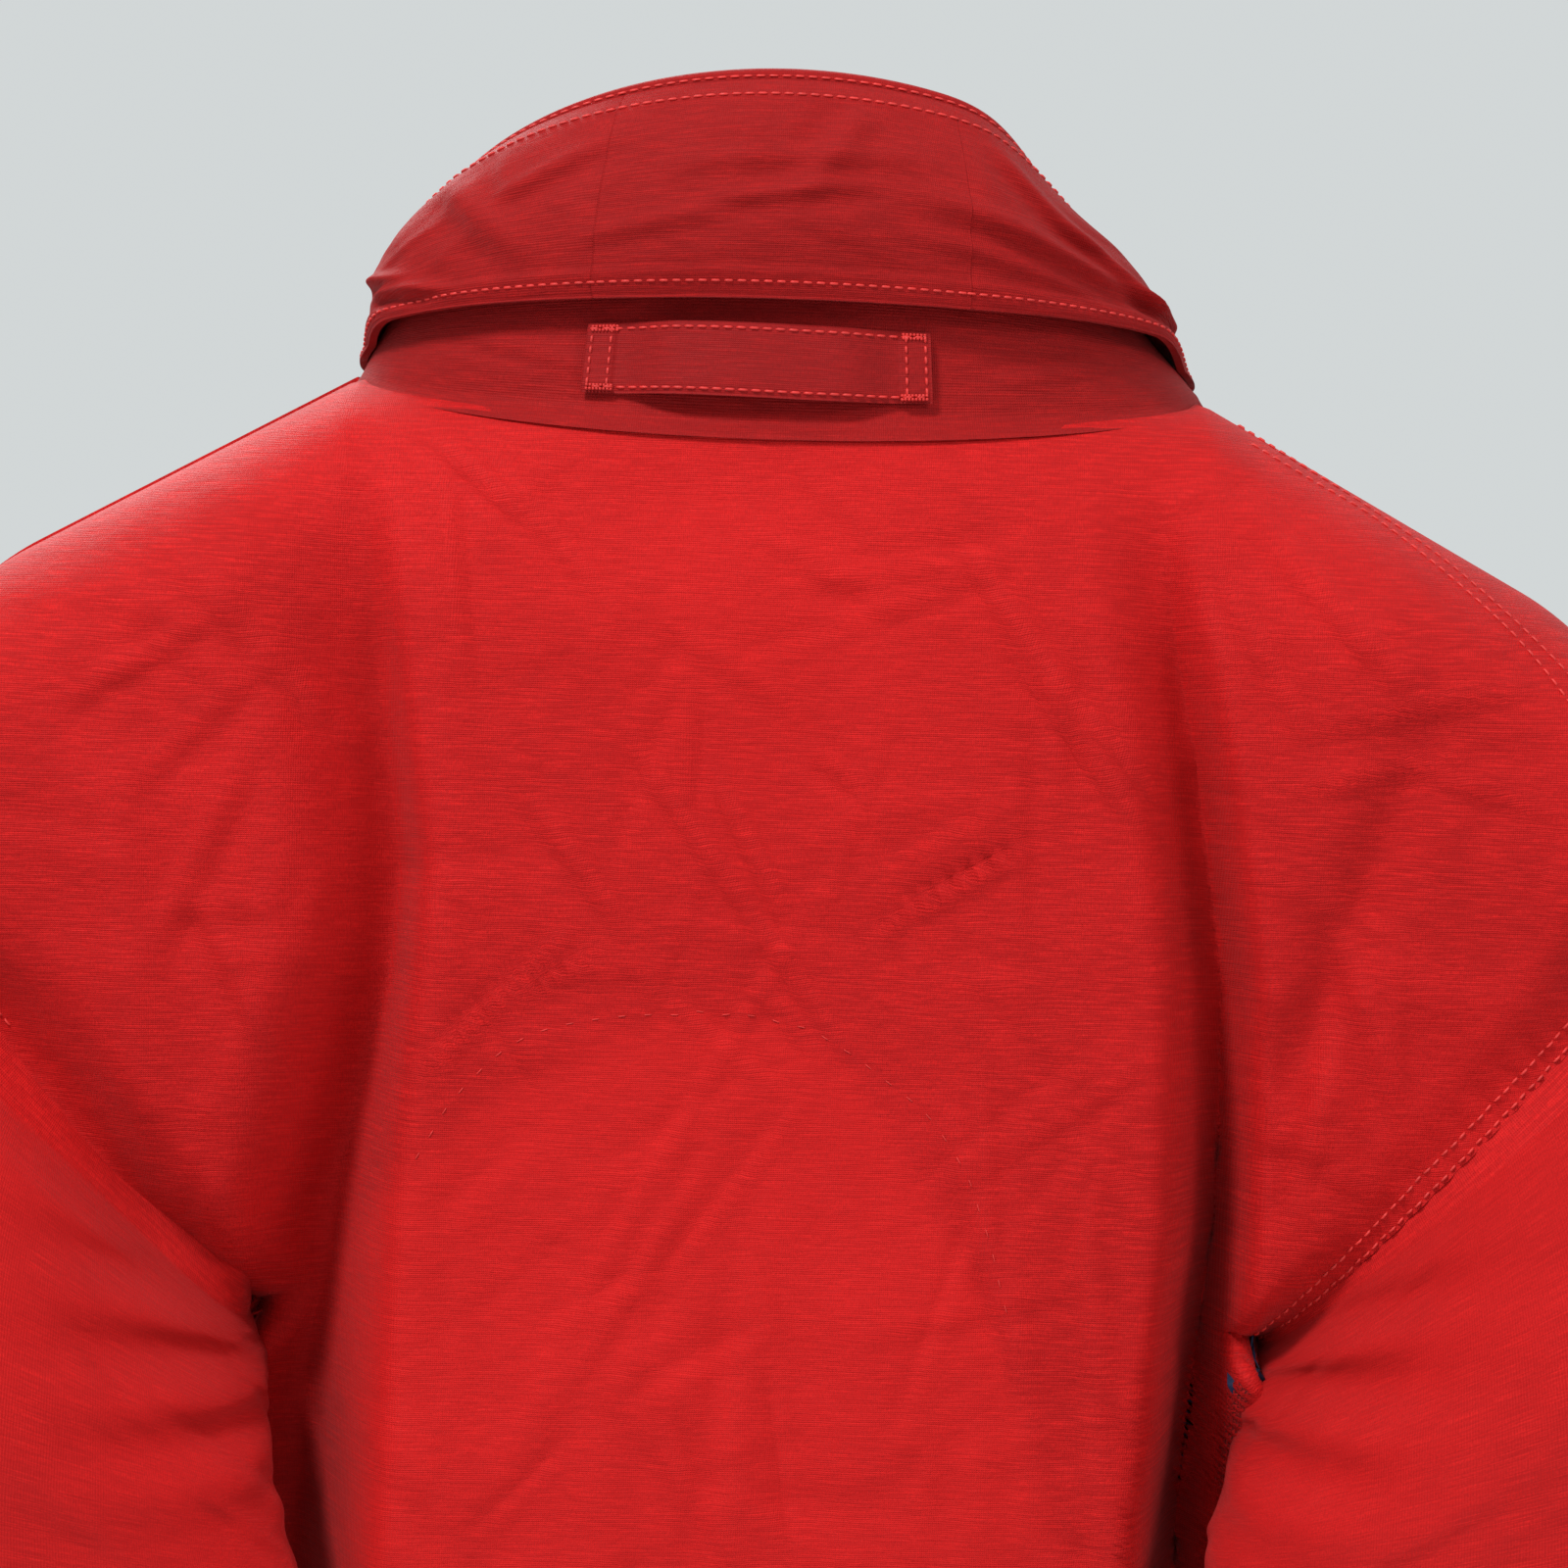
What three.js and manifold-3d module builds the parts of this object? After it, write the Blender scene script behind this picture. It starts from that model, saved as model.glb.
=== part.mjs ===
// Foul weather jacket, hanging closed from its neck and shoulders.
// Millimetres, +Z up. The front faces -Y and the wearer's left is +X.
// The origin is the seat on the hanger: the middle of the neck opening, at the height of its sides.
import * as THREE from "three";
import { mergeVertices } from "three/addons/utils/BufferGeometryUtils.js";
import Module from "manifold-3d";

const wasm = await Module();
wasm.setup();

// ---- driving dimensions ----
const cloth = 1.6; // coated outer cloth with its seam allowances
const liningCloth = 1.2;
const gap = 0.4; // between pieces that are sewn or lie together
const hemZ = -770; // lower edge of the body

// neck seam, seen from above: half an ellipse behind, a flattened one in front
const neckHalf = 107;
const neckBack = 63;
const neckFront = 80;
const neckBackDrop = 13;
const neckFrontDrop = 75;
const neckDip = 3; // how late the neck seam dips to the front: 1 is a straight slant
const flatHalf = 26; // half of the flat stretch at the centre front
const frontEdge = 9; // from the centre to the front panels' edges, beside the zip
const neckRise = 3.2; // the collar starts this far above the neck seam

// collar's top edge
const collarHalf = 92;
const collarBack = 60;
const collarBackZ = 75;
const collarSideZ = 30;
const collarFrontZ = 5;
const collarHigh = collarBackZ + neckBackDrop; // up the middle of the back
const collarPly = 6; // between the collar's outer and inner walls

// shoulders, armholes and sides
const shoulderSlope = 0.55;
const hangerEndX = 190; // past here the shoulder drops off the hanger's end
const hangerEndDrop = 0.012; // per millimetre squared past the hanger's end
const shoulderEndX = 245;
const underarmX = 132;
const underarmZ = -240;
const armholeHalfDepth = 50;
const sideHalf = 250; // half width of the body below the armholes
const sideY = -40; // the side seam lies this far forward of the shoulders
const shoulderRound = 45; // depth over which the cloth rolls over the hanger
const flareRun = 0.1; // share of the height over which the body widens below the underarm
const backEdgeShare = 0.8; // past this share of the half width, cloth turns to meet the seam
const frontEdgeShare = 0.86;

// depth of the front and of the back
const frontFlat = 42; // the front is flat this far from the centre
const frontSlope = 0.101; // and falls away to the sides at this rate
const backLobeFrom = 74; // the back's middle lobe falls away between these two
const backLobeTo = 128;
const backSideY = -22;
const backLobeStep = 6; // the back lies this far forward beside its middle, below the armholes
const backFoldTop = -180; // the folds beside the middle lobe deepen between these heights
const backFoldBottom = -250;

// pockets on the lower front
const pocketX = 142; // far enough out that an opened storm flap clears an opened pocket flap
const pocketTop = -522;
const pocketWide = 138;
const pocketHigh = 196;
const pocketDeep = 16;
const pocketFlapHigh = 64;
const pocketFlapLift = 14; // the flap is sewn this far above the pocket's mouth
const pocketFlapOver = 4; // and is this much wider than the pocket on each side
const pocketSnapUp = 16; // from the flap's lower edge to its snap
const pocketStudHigh = 3;

// front zip
const zipBottomZ = -758;
const zipTopZ = -2;
const rowGap = 1.2;
const toothWide = 3.4;
const toothDeep = 3.8;
const zipTapeWide = 17.5;
const zipTapeThick = 1.2;
const zipTapeBelow = 6; // the tape and the box run on this far below the zip's foot
const retainerHigh = 12.6;
const stopHigh = 4.6;
const stopBelow = 1; // below the tape's top
const toothStandBack = 1; // the teeth's front lies this far in front of the collar line
const sliderHigh = 14;
const sliderHalf = 6;
const sliderPlate = 1.8;
const sliderZ = -12; // top of the slider
const lugDeep = 3.4;
const lugThick = 3;
const pullHigh = 38;
const pullWide = 9;
const pullThick = 1.2;
const lugHigh = 9;
const lugEyeHigh = 4.8;
const lugEyeDeep = 2.3;
const pullWindowHigh = 7;

// storm flap over the zip, and its snaps
const flapSewnX = 38;
const flapFreeX = -33;
const flapThick = 2;
const flapStand = 5.6; // between the front cloth and the flap
const flapTopZ = -82;
const flapBottomZ = -738;
const flapRise = 18; // the flap leaves the cloth over this distance
const snapCount = 5;
const snapX = -22;
const snapTopZ = -112;
const snapBottomZ = -712;
const snapRadius = 7.5;
const studRadius = 5;
const windFlapLap = 8; // width of the wind flap's edge sewn beside the tape
const windFlapStand = 1.6; // behind the slider

// stowed hood in its pouch on the back of the collar
const coverLow = 0.35; // the cover's free edge, as a share of the collar's height
const coverTop = 0.965;
const coverBulge = 11;
const coverSplit = 0.003; // between the lifting stretch and the sewn ones, as for the next
const coverEnd = 0.46; // how far round the collar the cover runs, as a share of half of it
const coverFadeFrom = 0.36;
const coverEndBulge = 2;
const coverFullness = 0.82; // of a half wave down the cover, so that its free edge stands off
const hoodFlapHalf = 46; // half width of the stretch that lifts
const hoodHalfThick = 3.2;
const hoodReach = 0.4; // how far round the collar the roll runs
const hoodMiddle = 0.69; // the roll's middle and half height, as shares of the collar's height
const hoodHalfHigh = 0.17;
const pouchTapeReach = 0.17;
const pouchTapeLow = 0.385; // as a share of the collar's height
const tapeThick = 1;
const tapeHigh = 9;

// loop that hangs the jacket on a hook
const loopLong = 85;
const loopHigh = 19.5;
const loopMiddleX = 5.5;
const loopLowZ = -6;
const loopLowShare = 0.06; // of the collar's height, at the loop's lower edge
const loopThick = 1.3;
const loopBow = 6.4;
const loopSewn = 8;
const loopRise = 14; // the loop leaves the collar over this distance

// cuffs and hem
const cuffHigh = 44;
const bandCloth = 1.4;
const tabHigh = 30;
const tabThick = 1.6;
const tabFromTurn = 0.75; // radians round the cuff, from its outer edge towards the back
const tabToTurn = 2.45;
const patchFromTurn = 0.9;
const patchToTurn = 1.9;
const patchStand = 1.2; // between the band and the loop patch
const hemHigh = 28;
const eyeletRadius = 5.5;
const eyeletHole = 2.8;
const eyeletX = 150;
const eyeletThick = 0.8;

// ---- how finely the cloth is cut into rows ----
const armRows = 8; // down the armhole
const sideRows = 9; // from the underarm to the hem
const rowSpread = 1.7; // above 1, the side rows are closer together at the underarm

// ---- materials ----
function finish(colour, roughness, metalness = 0) {
  return new THREE.MeshStandardMaterial({ color: colour, roughness, metalness });
}
const redCloth = finish(0xc81e1e, 0.75);
const redFacing = finish(0xd4231f, 0.8);
const navyLining = finish(0x1a2340, 0.85);
const redWebbing = finish(0xa81616, 0.8);
const blackTape = finish(0x17181b, 0.9);
const redTape = finish(0xb01a1a, 0.85);
const toothPlastic = finish(0xb41d1d, 0.45);
const castMetal = finish(0xa9abad, 0.35, 1);
const plateMetal = finish(0x8f9295, 0.4, 1);

// ---- small helpers ----
const point = (x, y, z) => new THREE.Vector3(x, y, z);
const mix = (a, b, t) => a + (b - a) * t;
const ease = (from, to, value) => THREE.MathUtils.smoothstep(value, from, to);
const root = (value) => Math.sqrt(Math.max(0, value));
const steps = (count) => Array.from({ length: count + 1 }, (_, k) => k / count);

// Through pairs [place, value] in a straight line from each to the next.
function through(pairs, place) {
  if (place <= pairs[0][0]) return pairs[0][1];
  for (let k = 1; k < pairs.length; k++) {
    const [end, value] = pairs[k];
    const [start, before] = pairs[k - 1];
    if (place <= end) return mix(before, value, (place - start) / (end - start));
  }
  return pairs[pairs.length - 1][1];
}

// Turns a geometry's faces outward if its signed volume is negative.
function facingOut(geometry) {
  const place = geometry.getAttribute("position");
  const index = geometry.getIndex();
  const corner = [point(), point(), point()];
  let volume = 0;
  for (let k = 0; k < index.count; k += 3) {
    corner.forEach((c, i) => c.fromBufferAttribute(place, index.getX(k + i)));
    volume += corner[0].dot(corner[1].clone().cross(corner[2]));
  }
  if (volume < 0) {
    for (let k = 0; k < index.count; k += 3) {
      const second = index.getX(k + 1);
      index.setX(k + 1, index.getX(k + 2));
      index.setX(k + 2, second);
    }
  }
  return geometry;
}

// A closed solid through columns that each hold an outer and an inner row of points.
// As a ring its last column joins its first; otherwise both end columns are closed.
function loft(columns, ring = false) {
  const rows = columns[0].outer.length;
  const loop = 2 * rows;
  const place = [];
  for (const { outer, inner } of columns) {
    for (const p of [...outer, ...[...inner].reverse()]) place.push(p.x, p.y, p.z);
  }
  const index = [];
  const quad = (a, b, c, d) => index.push(a, b, c, a, c, d);
  const spans = ring ? columns.length : columns.length - 1;
  for (let i = 0; i < spans; i++) {
    const here = i * loop;
    const next = ((i + 1) % columns.length) * loop;
    for (let j = 0; j < loop; j++) {
      const k = (j + 1) % loop;
      // both faces of a wall are split along the same diagonal, so that layers stay parallel
      if (j < rows) quad(here + j, here + k, next + k, next + j);
      else quad(here + k, next + k, next + j, here + j);
    }
  }
  if (!ring) {
    const last = (columns.length - 1) * loop;
    for (let j = 0; j < rows - 1; j++) {
      quad(j + 1, j, loop - 1 - j, loop - 2 - j);
      quad(last + j, last + j + 1, last + loop - 2 - j, last + loop - 1 - j);
    }
  }
  const geometry = new THREE.BufferGeometry();
  geometry.setAttribute("position", new THREE.Float32BufferAttribute(place, 3));
  geometry.setIndex(index);
  return facingOut(geometry);
}

// A closed sheet between two distances outward from a surface given as columns of points.
function sheet(columns, from, to, outwards) {
  const at = (i, j) => columns[Math.min(Math.max(i, 0), columns.length - 1)][j];
  const last = columns[0].length - 1;
  const made = columns.map((column, i) =>
    column.map((p, j) => {
      const across = at(i + 1, j).clone().sub(at(i - 1, j));
      const down = column[Math.min(j + 1, last)].clone().sub(column[Math.max(j - 1, 0)]);
      const normal = across.cross(down).normalize();
      return normal.multiplyScalar(outwards);
    })
  );
  const shifted = (i, distance) =>
    columns[i].map((p, j) => p.clone().addScaledVector(made[i][j], distance));
  return loft(columns.map((_, i) => ({ outer: shifted(i, to), inner: shifted(i, from) })));
}

function prism(corners, length) {
  const shape = new THREE.Shape(corners.map(([a, b]) => new THREE.Vector2(a, b)));
  return new THREE.ExtrudeGeometry(shape, { depth: length, bevelEnabled: false });
}

// An outline in X and Y carried up from one height to another.
function upright(corners, lowZ, highZ) {
  return prism(corners, highZ - lowZ).translate(0, 0, lowZ);
}

function box(low, high) {
  const size = high.map((h, k) => h - low[k]);
  const middle = high.map((h, k) => (h + low[k]) / 2);
  return new THREE.BoxGeometry(...size).translate(...middle);
}

function solid(geometry) {
  const bare = geometry.clone();
  bare.deleteAttribute("normal");
  bare.deleteAttribute("uv");
  const merged = mergeVertices(bare, 1e-4);
  const mesh = new wasm.Mesh({
    numProp: 3,
    vertProperties: new Float32Array(merged.getAttribute("position").array),
    triVerts: new Uint32Array(merged.getIndex().array),
  });
  return new wasm.Manifold(mesh);
}

function fromSolid(manifold) {
  const mesh = manifold.getMesh();
  const geometry = new THREE.BufferGeometry();
  geometry.setAttribute("position", new THREE.Float32BufferAttribute(mesh.vertProperties, 3));
  geometry.setIndex(Array.from(mesh.triVerts));
  return geometry;
}

const jacket = new THREE.Group();
function add(name, geometry, material, parent = jacket) {
  const mesh = new THREE.Mesh(geometry, material);
  mesh.name = name;
  parent.add(mesh);
  return mesh;
}
const sides = [
  ["left", 1],
  ["right", -1],
];

// ---- the body's surfaces ----
// Height of the top edge of the front or the back over a place across it.
function topZ(x, isFront) {
  const across = Math.abs(x);
  const pastEnd = Math.max(0, across - hangerEndX);
  if (across >= neckHalf) {
    return -shoulderSlope * (across - neckHalf) - hangerEndDrop * pastEnd ** 2;
  }
  if (isFront) return -neckFrontDrop * neckFrontShare(across) ** neckDip;
  return -neckBackDrop * root(1 - (across / neckHalf) ** 2);
}

function neckFrontShare(across) {
  const run = Math.max(0, across - flatHalf) / (neckHalf - flatHalf);
  return root(1 - run ** 2);
}

function topY(x, isFront) {
  const across = Math.abs(x);
  if (across >= neckHalf) return 0;
  if (isFront) return -neckFront * neckFrontShare(across);
  return neckBack * root(1 - (across / neckHalf) ** 2);
}

const backMiddle = [
  [hemZ, 46],
  [-300, 48],
  [-160, 57],
  [-60, 66],
  [-20, 65],
];
function backDepth(x, z) {
  const middle = through(backMiddle, z);
  const folded = 1 - ease(backFoldBottom, backFoldTop, z);
  const side = mix(middle - backLobeStep, backSideY, folded);
  return mix(middle, side, ease(backLobeFrom, backLobeTo, Math.abs(x)));
}

function frontDepth(x) {
  return -neckFront + frontSlope * Math.max(0, Math.abs(x) - frontFlat);
}

// Rows from the shoulder down: each has its half width, its share of the way to the hem,
// and where its ends lie front and back. The first rows end on the armhole.
function bodyRow(edgeX, edgeZ, endBack, endFront) {
  const top = topZ(edgeX, false);
  return { half: edgeX, share: (top - edgeZ) / (top - hemZ), endBack, endFront };
}

const armholeTop = point(shoulderEndX, 0, topZ(shoulderEndX, false));
const underarm = point(underarmX, 0, underarmZ);
function bodyRows() {
  const rows = steps(armRows).map((share) => {
    const turn = share * Math.PI;
    const spot = armholeTop.clone().lerp(underarm, (1 - Math.cos(turn)) / 2);
    const reach = armholeHalfDepth * Math.sin(turn);
    return bodyRow(spot.x, spot.z, reach, -reach);
  });
  const from = rows[armRows].share;
  for (const share of steps(sideRows).slice(1)) {
    const down = mix(from, 1, share ** rowSpread);
    const half = mix(underarmX, sideHalf, ease(from, from + flareRun, down));
    const end = mix(0, sideY, ease(from - flareRun / 5, from + flareRun * 0.3, down));
    rows.push({ half, share: down, endBack: end, endFront: end });
  }
  return rows;
}
const rowsDown = bodyRows();

// One point of the front or back surface: its share of the half width, and its row.
function bodyPoint(share, row, isFront, seam = 0) {
  const edge = Math.sign(share) * Math.min(Math.abs(share), 1 - seam / row.half);
  const x = edge * row.half;
  return surfacePoint(x, row, edge, isFront);
}

function surfacePoint(x, row, share, isFront) {
  const top = topZ(x, isFront);
  const z = mix(top, hemZ, row.share);
  const start = topY(x, isFront) + (isFront ? -gap / 2 : gap / 2);
  const roll = Math.min(1, (top - z) / shoulderRound);
  const depth = isFront ? frontDepth(x) : backDepth(x, z);
  const rolled = mix(start, depth, root(1 - (1 - roll) ** 2));
  const end = isFront ? row.endFront - gap / 2 : row.endBack + gap / 2;
  const reach = ease(isFront ? frontEdgeShare : backEdgeShare, 1, Math.abs(share));
  return point(x, mix(rolled, end, row.share > 0 ? reach : 0), z);
}

// Places across the top, from the centre out: round the neck, then along the shoulder.
function shoulderShares(neckSteps, shoulderSteps) {
  const neck = steps(neckSteps).map((t) => neckHalf * Math.sin((t * Math.PI) / 2));
  const rest = steps(shoulderSteps).slice(1).map((t) => mix(neckHalf, shoulderEndX, t));
  return [...neck, ...rest].map((x) => x / shoulderEndX);
}

function backColumns() {
  const half = shoulderShares(6, 5);
  const shares = [...half.slice(1).reverse().map((s) => -s), ...half];
  return shares.map((share) => rowsDown.map((row) => bodyPoint(share, row, false, gap)));
}

// A front's columns start beside the zip on upright lines and spread to the side.
const frontUpright = [frontEdge, flatHalf, frontFlat];
for (const share of [0.37, 0.68, 0.88, 1]) frontUpright.push(mix(frontFlat, neckHalf, share));
const frontSpread = 6;
function frontColumns(side) {
  const at = (row, k) => {
    if (k < frontUpright.length) return frontUpright[k];
    return mix(neckHalf, row.half - gap, (k - frontUpright.length + 1) / frontSpread);
  };
  return Array.from({ length: frontUpright.length + frontSpread }, (_, k) =>
    rowsDown.map((row) => {
      const x = at(row, k);
      return surfacePoint(side * x, row, x / row.half, true);
    })
  );
}

// The stretch of a surface between two columns and two rows, both counted.
function stretch(columns, [firstColumn, lastColumn], [firstRow, lastRow]) {
  const across = columns.slice(firstColumn, lastColumn + 1);
  return across.map((column) => column.slice(firstRow, lastRow + 1));
}

const hemRow = rowsDown.length - 1;
function addBody() {
  add("back_panel", sheet(backColumns(), 0, cloth, 1), redCloth);
  for (const [name, side] of sides) {
    add(`${name}_front_panel`, sheet(frontColumns(side), 0, cloth, -side), redCloth);
  }
}

// Linings lie just inside the outer cloth and stop short of the seams.
function addLinings() {
  const outer = -gap;
  const inner = outer - liningCloth;
  const columns = backColumns();
  const whole = stretch(columns, [2, columns.length - 3], [2, hemRow]);
  add("back_lining", sheet(whole, inner, outer, 1), navyLining);
  const middle = (columns.length - 1) / 2;
  const patch = stretch(columns, [middle - 5, middle + 5], [4, armRows + 3]);
  add("back_facing", sheet(patch, inner - gap - liningCloth, inner - gap, 1), redFacing);
  for (const [name, side] of sides) {
    const across = [2, frontUpright.length + frontSpread - 2];
    const lining = stretch(frontColumns(side), across, [3, hemRow]);
    add(`${name}_front_lining`, sheet(lining, inner, outer, -side), navyLining);
  }
}

// ---- sleeves and cuffs ----
// Each sleeve lies between an outer and an inner line, seen from the front, with a depth along them.
const outerLine = [
  [shoulderEndX, armholeTop.z],
  [280, -165],
  [300, -235],
  [306, -310],
  [318, -430],
  [335, -560],
  [350, -690],
];
const innerLine = [
  [underarmX + 9, underarmZ + 10], // just clear of the body's underarm
  [128, -257],
  [117, -290],
  [116, -330],
  [142, -430],
  [185, -560],
  [232, -690],
];
const sleeveDepths = [
  [0, armholeHalfDepth],
  [20, 50],
  [42, 49],
  [46, 47],
  [42, 44],
  [40, 41],
  [38, 37],
];
const sleeveRoute = sleeveDepths.map(([middle, half], k) => ({
  outside: point(outerLine[k][0], middle, outerLine[k][1]),
  inside: point(innerLine[k][0], middle, innerLine[k][1]),
  half: point(half, 0, 0),
}));
const routeOf = (key) => new THREE.CatmullRomCurve3(sleeveRoute.map((stop) => stop[key]));
const outsideRoute = routeOf("outside");
const insideRoute = routeOf("inside");
const halfRoute = routeOf("half");

// A point of a sleeve's section: place along it, turn round it, distance outward.
function sleevePoint(side, along, turn, outward) {
  const outside = outsideRoute.getPoint(along);
  const inside = insideRoute.getPoint(along);
  const middle = outside.clone().add(inside).multiplyScalar(0.5);
  const across = outside.clone().sub(inside);
  const wide = across.length() / 2;
  const deep = halfRoute.getPoint(along).x;
  across.normalize();
  const sway = Math.cos(turn);
  const swell = Math.sin(turn);
  const normal = point(sway * deep, swell * wide, 0).normalize();
  const spot = middle
    .addScaledVector(across, wide * sway + outward * normal.x)
    .add(point(0, deep * swell + outward * normal.y, 0));
  return point(side * spot.x, spot.y, spot.z);
}

function tubeWall(side, places, turns, from, to) {
  const row = (turn, outward) => places.map((along) => sleevePoint(side, along, turn, outward));
  return turns.map((turn) => ({ outer: row(turn, to), inner: row(turn, from) }));
}

const sleeveStart = 0.006;
const sleeveLong = 598; // along its middle
const cuffStart = 1 - cuffHigh / sleeveLong;
function fullTurn(count) {
  return Array.from({ length: count }, (_, k) => (k / count) * Math.PI * 2);
}

function addSleeve(name, side) {
  const places = steps(11).map((t) => mix(sleeveStart, 1, t ** 0.9));
  const wall = tubeWall(side, places, fullTurn(18), 0, cloth);
  add(`${name}_sleeve`, loft(wall, true), redCloth);
  const bandFrom = cloth + 2 * gap;
  const bandTo = bandFrom + bandCloth;
  const band = tubeWall(side, [cuffStart, (cuffStart + 1) / 2, 1], fullTurn(18), bandFrom, bandTo);
  add(`${name}_cuff_band`, loft(band, true), redCloth);

  const middle = (cuffStart + 1) / 2;
  const halfTab = tabHigh / 2 / sleeveLong;
  const tabRows = [middle - halfTab, middle + halfTab];
  const patchFrom = bandTo + patchStand - gap;
  const patchTo = patchFrom + gap + tapeThick;
  const tabFrom = patchTo + gap;
  const round = (first, last, count) => steps(count).map((t) => mix(first, last, t));
  const patchTurns = round(patchFromTurn, patchToTurn, 5);
  const patch = tubeWall(side, tabRows, patchTurns, patchFrom, patchTo);
  add(`${name}_cuff_loop_patch`, loft(patch), blackTape);
  const tabTurns = round(tabFromTurn, tabToTurn, 8);
  const tab = tubeWall(side, tabRows, tabTurns, tabFrom, tabFrom + tabThick);
  add(`${name}_cuff_tab`, loft(tab), redCloth);
}

function addSleeves() {
  for (const [name, side] of sides) addSleeve(name, side);
}

// ---- collar with the hood's pouch ----
// A point on the collar's outer wall. Along it, 0 is the middle of the back and 1 or -1 is the
// centre front; share is the height from neck seam to top edge; outward is clear of the wall.
const backShare = 0.42;
const roundShare = 0.9;
function collarPoint(along, share, outward, lift = 0) {
  const way = Math.abs(along);
  const side = Math.sign(along) || 1;
  const low = ringPoint(way, neckHalf, neckBack, [-neckBackDrop, 0, -neckFrontDrop], neckDip);
  const high = ringPoint(way, collarHalf, collarBack, [collarBackZ, collarSideZ, collarFrontZ], 1);
  low.spot.z += neckRise;
  const spot = low.spot.lerp(high.spot, share).addScaledVector(low.normal, outward);
  return point(side * spot.x, spot.y, spot.z + lift);
}

function ringPoint(way, half, back, [backZ, sideZ, frontZ], dip) {
  if (way <= backShare) {
    const turn = ((way / backShare) * Math.PI) / 2;
    const spot = point(half * Math.sin(turn), back * Math.cos(turn), 0);
    spot.z = mix(sideZ, backZ, Math.cos(turn));
    return { spot, normal: point(back * Math.sin(turn), half * Math.cos(turn), 0).normalize() };
  }
  if (way <= roundShare) {
    const turn = (((way - backShare) / (roundShare - backShare)) * Math.PI) / 2;
    const wide = half - flatHalf;
    const spot = point(flatHalf + wide * Math.cos(turn), -neckFront * Math.sin(turn), 0);
    spot.z = mix(sideZ, frontZ, Math.sin(turn) ** dip);
    const normal = point(neckFront * Math.cos(turn), -wide * Math.sin(turn), 0).normalize();
    return { spot, normal };
  }
  const x = mix(flatHalf, frontEdge, (way - roundShare) / (1 - roundShare));
  return { spot: point(x, -neckFront, frontZ), normal: point(0, -1, 0) };
}

// How far along the collar's back half a place across it lies.
function alongAt(x, half) {
  return (Math.asin(x / half) / (Math.PI / 2)) * backShare;
}

// Sweeps a section along the collar: outer and inner are lists of [share, outward, lift].
function alongCollar(from, to, count, outer, inner) {
  const at = (along, list) =>
    list.map(([share, outward, lift]) => collarPoint(along, share, outward, lift));
  return loft(
    steps(count).map((t) => {
      const along = mix(from, to, t);
      return { outer: at(along, outer(along)), inner: at(along, inner(along)) };
    })
  );
}

const coverShares = steps(6).map((t) => mix(coverTop, coverLow, t));
function coverRise(share, along) {
  const t = (coverTop - share) / (coverTop - coverLow);
  const fade = 1 - ease(coverFadeFrom, coverEnd, Math.abs(along));
  const bulge = Math.sin(Math.PI * Math.min(1, t * coverFullness)) ** 0.8;
  return cloth + gap + mix(coverEndBulge, coverBulge, fade) * bulge;
}

function coverPiece(from, to, count) {
  const list = (extra) => (along) => coverShares.map((s) => [s, coverRise(s, along) + extra, 0]);
  return alongCollar(from, to, count, list(cloth), list(0));
}

function addCollar() {
  // up the outer wall, then turned over the top edge to the inner one
  const up = [0, 0.3, 0.6];
  const turned = () => [
    ...up.map((share) => [share, cloth, 0]),
    [1, cloth, 0],
    [1, cloth, cloth],
    [1, -collarPly, cloth],
  ];
  const corner = 0.01; // keeps the two rows apart in the fold
  const under = () => [
    ...up.map((share) => [share, 0, 0]),
    [1, 0, -corner],
    [1, -corner, 0],
    [1, -collarPly, 0],
  ];
  add("collar_band", alongCollar(-1, 1, 32, turned, under), redCloth);
  const inner = -collarPly;
  const lining = (outward) => () => [[0.04, outward, 0], [0.5, outward, 0], [1, outward, -gap]];
  const end = 0.99; // just short of the zip
  const wall = alongCollar(-end, end, 28, lining(inner), lining(inner - liningCloth));
  add("collar_lining", wall, navyLining);

  const middle = alongAt(hoodFlapHalf, neckHalf);
  add("hood_flap", coverPiece(-middle, middle, 8), redCloth);
  for (const [name, side] of sides) {
    const piece = coverPiece(side * (middle + coverSplit), side * coverEnd, 8);
    add(`${name}_hood_cover`, piece, redCloth);
  }
  addHood();
}

function addHood() {
  const blunt = 0.01; // keeps the roll's ends from closing to a point
  const fullness = (along) => root(1 - (along / (hoodReach + blunt)) ** 8);
  const half = (sign) => (along) =>
    steps(5).map((t) => {
      const turn = ((t * 10 + 1) / 12) * Math.PI;
      const swell = Math.sin(turn) * hoodHalfThick * fullness(along);
      const outward = cloth + 2 * gap + hoodHalfThick + sign * swell;
      return [hoodMiddle + hoodHalfHigh * Math.cos(turn) * fullness(along), outward, 0];
    });
  add("rolled_hood", alongCollar(-hoodReach, hoodReach, 18, half(1), half(-1)), redCloth);
  const strip = (from, to) => (outward) => () => [[to, outward, 0], [from, outward, 0]];
  const low = strip(pouchTapeLow, pouchTapeLow + tapeHigh / collarHigh);
  const loopFrom = cloth + gap;
  const reach = pouchTapeReach;
  const loopTape = alongCollar(-reach, reach, 10, low(loopFrom + tapeThick), low(loopFrom));
  add("pouch_loop_tape", loopTape, blackTape);
}

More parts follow.
